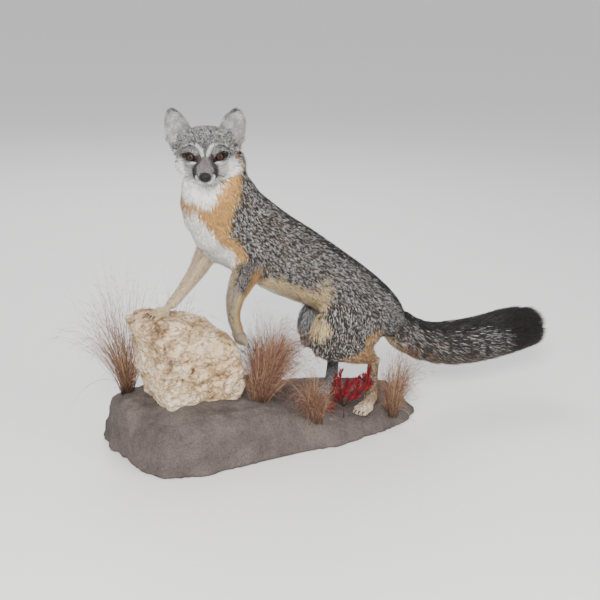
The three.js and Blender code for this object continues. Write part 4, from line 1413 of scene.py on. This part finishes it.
claw_horn, tree, shader = new_finish("claw_horn", 0.35, 0.5)
along_claw = grain(tree, "cloud", 0.002, 2)
tree.links.new(
    shade_steps(tree, along_claw, (0.3, (0.10, 0.08, 0.07)), (0.7, (0.24, 0.19, 0.16))),
    shader.inputs["Base Color"]
)
claws = bmesh.new()
for (px, py, pz), (pitch, turn), long, wide in (
    ((-94, -62, 222), (58, 20), 46, 31),
    ((-228, -20, 273), (10, 188), 46, 31),
    ((164, -101, 46), (6, 200), 48, 33),
    ((134, 1, 52), (6, 176), 48, 33),
):
    set_down = Euler((0, math.radians(pitch), math.radians(turn)), "XYZ").to_matrix().to_4x4()
    foot = Matrix.Translation((px / 1000, py / 1000, pz / 1000)) @ set_down
    for k in (-1.5, -0.5, 0.5, 1.5):
        lead = long * (0.36 - 0.05 * abs(k)) + long * 0.15
        path = [
            (
                lead + 6.8 * t, k * wide / 4.2 * (1 + 0.05 * t),
                1.9 + 1.2 * math.sin(2.4 * t) - 4.6 * t * t
            )
            for t in np.linspace(0, 1, 7)
        ]
        draw_out(
            claws, [foot @ Vector((p[0] / 1000, p[1] / 1000, p[2] / 1000)) for p in path],
            (0.0014, 0.0015, 0.0014, 0.0012, 0.0009, 0.0005), sides=8
        )
bmesh.ops.recalc_face_normals(claws, faces=claws.faces)
place_piece("claws", made_mesh(claws, "claws"), claw_horn, slot="nose_leather")

# ---- Dry grass -----------------------------------------------------------------------------------
# Bunches of fine dried grass, their roots set in holes in the earth coat. Wiry pink-brown blades
# that curl at the ends, with a few straw-coloured ones, and short side wisps.


def grow_threads(name, threads, finish, node, slot, sides=3):
    """Joins many tapering threads into one piece. A thread is its points, its thickness at the root
    and its sRGB shade."""
    points, faces, shades, start = [], [], [], 0
    for path, thick, shade in threads:
        steps = len(path)
        way = np.gradient(path, axis=0)
        way /= np.linalg.norm(way, axis=1)[:, None] + 1e-9
        side_way = np.cross(way, (0.31, 0.95, 0.12))
        side_way /= np.linalg.norm(side_way, axis=1)[:, None] + 1e-9
        other = np.cross(way, side_way)
        radius = (np.array(thick) * (1 - 0.72 * np.linspace(0, 1, steps - 1)))[:, None]
        for angle in np.arange(sides) * 2 * math.pi / sides:
            points.append(
                path[:-1] + radius
                * (side_way[:-1] * math.cos(angle) + other[:-1] * math.sin(angle))
            )
        points.append(path[-1:])
        rung = steps - 1
        for k in range(sides):
            a, b = start + k * rung, start + (k + 1) % sides * rung
            n = np.arange(rung - 1)
            faces.append(np.c_[a + n, b + n, b + n + 1])
            faces.append(np.c_[a + n, b + n + 1, a + n + 1])
            faces.append(np.array([(a + rung - 1, b + rung - 1, start + sides * rung)]))
        faces.append(np.array([(start, start + 2 * rung, start + rung)]))
        along = np.r_[np.tile(np.linspace(0, 1, rung), sides), 1.0]
        # painted shade: each thread is darker towards its root, where the threads crowd together
        shades.append(
            np.c_[
                np.array(shade)[None] ** 2.2 * (0.45 + 0.6 * step_up(along, 0, 0.6))[:, None],
                along * 0 + 1
            ]
        )
        start += sides * rung + 1
    points, faces, shades = np.concatenate(points), np.concatenate(faces), np.concatenate(shades)
    piece = mesh_of(name, points, faces)
    tints = piece.color_attributes.new("blade_tint", "BYTE_COLOR", "POINT")
    tints.data.foreach_set("color", shades.clip(0, 1).ravel())
    return place_piece(name, piece, finish, node, slot=slot)


def blade_path(root, way, long, droop, curl, steps, pick):
    """A blade that leaves the root along `way`, sags by `droop` and curls towards its end."""
    t = np.linspace(0, 1, steps)
    way = way / np.linalg.norm(way)
    path = root + way * long * t[:, None]
    path[:, 2] -= droop * long * t**2.2
    swing = pick.normal(0, 1, 3)
    swing -= swing @ way * way
    swing /= np.linalg.norm(swing)
    turns = pick.uniform(2.0, 5.0)
    path += (swing * long * curl)[None] * (
        np.sin(turns * t**1.5 + pick.uniform(0, 1)) * t**1.3
    )[:, None]
    return path


def arched_blade(root, tip, lift, curl, pick, steps):
    """A blade that rises from the root, arches over by `lift` and wanders a little on its way."""
    t = np.linspace(0, 1, steps)[:, None]
    crest = 2 * (root + (tip - root) * 0.5 + (0, 0, lift)) - 0.5 * (root + tip)
    path = root * (1 - t) ** 2 + crest * 2 * t * (1 - t) + tip * t**2
    long = np.linalg.norm(tip - root)
    swing = pick.normal(0, 1, 3) * long * curl
    return path + swing * (np.sin(pick.uniform(2.5, 6.0) * t**1.4 + pick.uniform(0, 0.8)) * t**1.2)


pink_brown, maroon_brown = np.array((0.56, 0.43, 0.34)), np.array((0.43, 0.29, 0.26))
straw = np.array((0.70, 0.60, 0.46))
dry_blade, tree, shader = new_finish("dry_blade", 0.75, 0.25)
tree.links.new(dyed(tree, "blade_tint"), shader.inputs["Base Color"])

GOLDEN_TURN = 2.39996  # radians from one stalk to the next, which spreads them evenly round

# where each bunch stands, its height, how wide it fans, which way it leans, its main stalks, the
# tip and the lift of each stray, how many blades fill it, the share of maroon ones, and the fan
# of the loosest blades as a share of the stalks' own
for node, root, height, spread, lean, stems, strays, count, maroon, fan in (
    (
        "grass_left", (-258, 66, 95), 288, 130, (-36, -14), 10,
        (((-385, 60, 76), 46), ((-374, 64, 206), 24)), 360, 0.25, 0.98
    ),
    (
        "grass_rock_back", (-150, 96, 93), 225, 92, (4, 10), 9, (((-128, 184, 150), 24),), 190, 0.5,
        1.25
    ),
    ("grass_rock_side", (-52, -66, 84), 180, 80, (36, 2), 12, (), 880, 0.65, 1.70),
    ("grass_middle", (20, 30, 64), 180, 90, (8, 16), 9, (), 760, 0.60, 1.60),
    (
        "grass_front", (44, -116, 47), 132, 56, (-22, -8), 8, (((-12, -176, 54), 14),), 380, 0.40,
        1.40
    ),
    (
        "grass_right", (222, -108, 23), 184, 62, (14, -8), 9, (((226, -190, 14), 28),), 380, 0.40,
        1.35
    ),
):
    pick = np.random.default_rng(len(node) * 7 + count)
    root = np.array(root, float)
    blades = []
    for k in range(stems):
        turn, out = GOLDEN_TURN * k + root[0], spread * math.sqrt((k + 0.5) / stems)
        rise = height * (1 - 0.7 * k / stems) + 6 * math.sin(5 * k)
        blades.append(
            (
                root + (math.cos(turn) * out + lean[0], math.sin(turn) * out * 0.7 + lean[1], rise),
                out * 0.2
            )
        )
    blades += [(np.array(tip, float), lift) for tip, lift in strays]
    for k in range(count):
        turn, out = GOLDEN_TURN * k, math.sqrt((k + 0.5) / count)
        aim = np.array(
            (
                math.cos(turn) * spread * out + lean[0],
                math.sin(turn) * spread * out * 0.7 + lean[1], height * (1 - 0.58 * out**2)
            )
        )
        wide = pick.uniform(0.95, fan)
        aim = aim * (wide, wide, 1.25 - 0.25 * wide) * pick.uniform(0.45, 1.0)
        aim = aim + pick.normal(0, 0.03, 3) * height
        blades.append((root + aim, np.hypot(aim[0], aim[1]) * pick.uniform(0.10, 0.62)))
    threads = []
    for k, (tip, lift) in enumerate(blades):
        main = k < len(blades) - count
        shade = pink_brown if pick.random() > maroon else maroon_brown
        if main or pick.random() < 0.12:
            shade = straw
        shade = np.clip(shade * pick.uniform(0.8, 1.15), 0, 1)
        start = root + (*pick.normal(0, 5.0, 2), -4.0)
        path = arched_blade(
            start, tip, lift, 0.010 if main else pick.uniform(0.02, 0.13), pick, 9 if main else 7
        ) / 1000
        threads.append(
            (path, pick.uniform(0.00045, 0.00065) if main else pick.uniform(0.0003, 0.0005), shade)
        )
        for _ in range(2):
            at = int(pick.integers(2, len(path)))
            off = path[at] - path[at - 1]
            off = off + pick.normal(0, 0.55, 3) * np.linalg.norm(off)
            wisp = blade_path(
                path[at - 1], off, pick.uniform(0.014, 0.048), pick.uniform(0.0, 0.7), 0.30, 4, pick
            )
            threads.append((wisp, 0.00024, np.clip(shade * pick.uniform(0.95, 1.2), 0, 1)))
    # a blade that droops to the floor lies along it
    for path, thick, shade in threads:
        path[:, 2] = np.maximum(path[:, 2], 0.002)
    grow_threads(f"dry_{node}", threads, dry_blade, node, "dry_grass")

# ---- Red sprig -----------------------------------------------------------------------------------
# A dyed, preserved sprig wired into the earth coat: a dark twig that forks into six feathery
# fingers with short side twigs, and leaflets down both sides of each.

pick = np.random.default_rng(9)
root = np.array((0.108, -0.112, 0.040))
threads = []
crimson, wine = np.array((0.52, 0.06, 0.11)), np.array((0.28, 0.05, 0.08))
fork, leaf_gap = (-7, -5, 26), 0.0011
# the turns of each finger and twig in millimetres from the root, and how far along it the
# leaflets begin; the bare stalk comes last
for turns, leafy in (
    ((fork, (7, -12, 35), (20, -17, 52), (35, -20, 65), (39, -20, 102)), 0.22),
    (((20, -17, 52), (37, -20, 63), (47, -20, 73)), 0.25),
    ((fork, (-10, -7, 47), (3, -9, 68), (16, -10, 80), (26, -10, 83)), 0.25),
    ((fork, (-15, -6, 54), (-20, -7, 80), (-16, -8, 103)), 0.2),
    ((fork, (-23, -6, 43), (-31, -7, 63), (-27, -8, 95)), 0.2),
    (((-20, -6, 39), (-34, -7, 37), (-34, -7, 25)), 0.2),
    (((-10, -7, 46), (-6, -11, 66), (-3, -13, 84)), 0.15),
    (((12, -14, 43), (18, -12, 62), (20, -14, 76)), 0.15),
    (((-3, -9, 31), (4, -13, 46), (10, -14, 58)), 0.15),
    (((-14, -6, 34), (-24, -10, 50), (-36, -10, 62)), 0.15),
    (((32, -19, 61), (31, -17, 78), (30, -18, 90)), 0.15),
    (((0, 0, -6), (-3, -2, 12), fork), 1.0),
):
    turns = np.array(turns, float) / 1000
    run = np.r_[0, np.cumsum(np.linalg.norm(np.diff(turns, axis=0), axis=1))]
    steps = np.linspace(0, run[-1], 12)
    stem = np.stack([np.interp(steps, run, turns[:, j]) for j in range(3)], axis=1)
    for _ in range(2):
        stem[1:-1] = (stem[:-2] + 2 * stem[1:-1] + stem[2:]) / 4
    stem += root
    threads.append((stem, 0.0013, (0.26, 0.12, 0.11)))
    ahead_all = np.gradient(stem, axis=0)
    side = 1
    for at in np.arange(leafy * run[-1], run[-1], leaf_gap) / run[-1]:
        place = np.array([np.interp(at * 11, range(12), stem[:, j]) for j in range(3)])
        ahead = np.array([np.interp(at * 11, range(12), ahead_all[:, j]) for j in range(3)])
        ahead /= np.linalg.norm(ahead)
        aside = np.cross(ahead, (0.52, 0.85, 0.1)) * side + pick.normal(0, 0.35, 3)
        aside -= aside @ ahead * ahead
        aside /= np.linalg.norm(aside)
        side = -side
        way = ahead * 0.80 + aside * pick.uniform(0.45, 0.85)
        long = pick.uniform(0.0130, 0.0190) * (1.0 - 0.58 * at)
        leaf = blade_path(place, way, long, pick.uniform(-0.1, 0.25), 0.06, 5, pick)
        shade = crimson + (wine - crimson) * pick.random() ** 0.8
        threads.append(
            (
                leaf, 0.0013 * np.array((0.35, 1.1, 1.8, 1.6)),
                np.clip(shade * pick.uniform(0.85, 1.15), 0, 1)
            )
        )
red_leaf, tree, shader = new_finish("red_leaf", 0.55, 0.3)
tree.links.new(dyed(tree, "blade_tint"), shader.inputs["Base Color"])
grow_threads("red_sprig_leaves", threads, red_leaf, "red_sprig", "red_foliage")
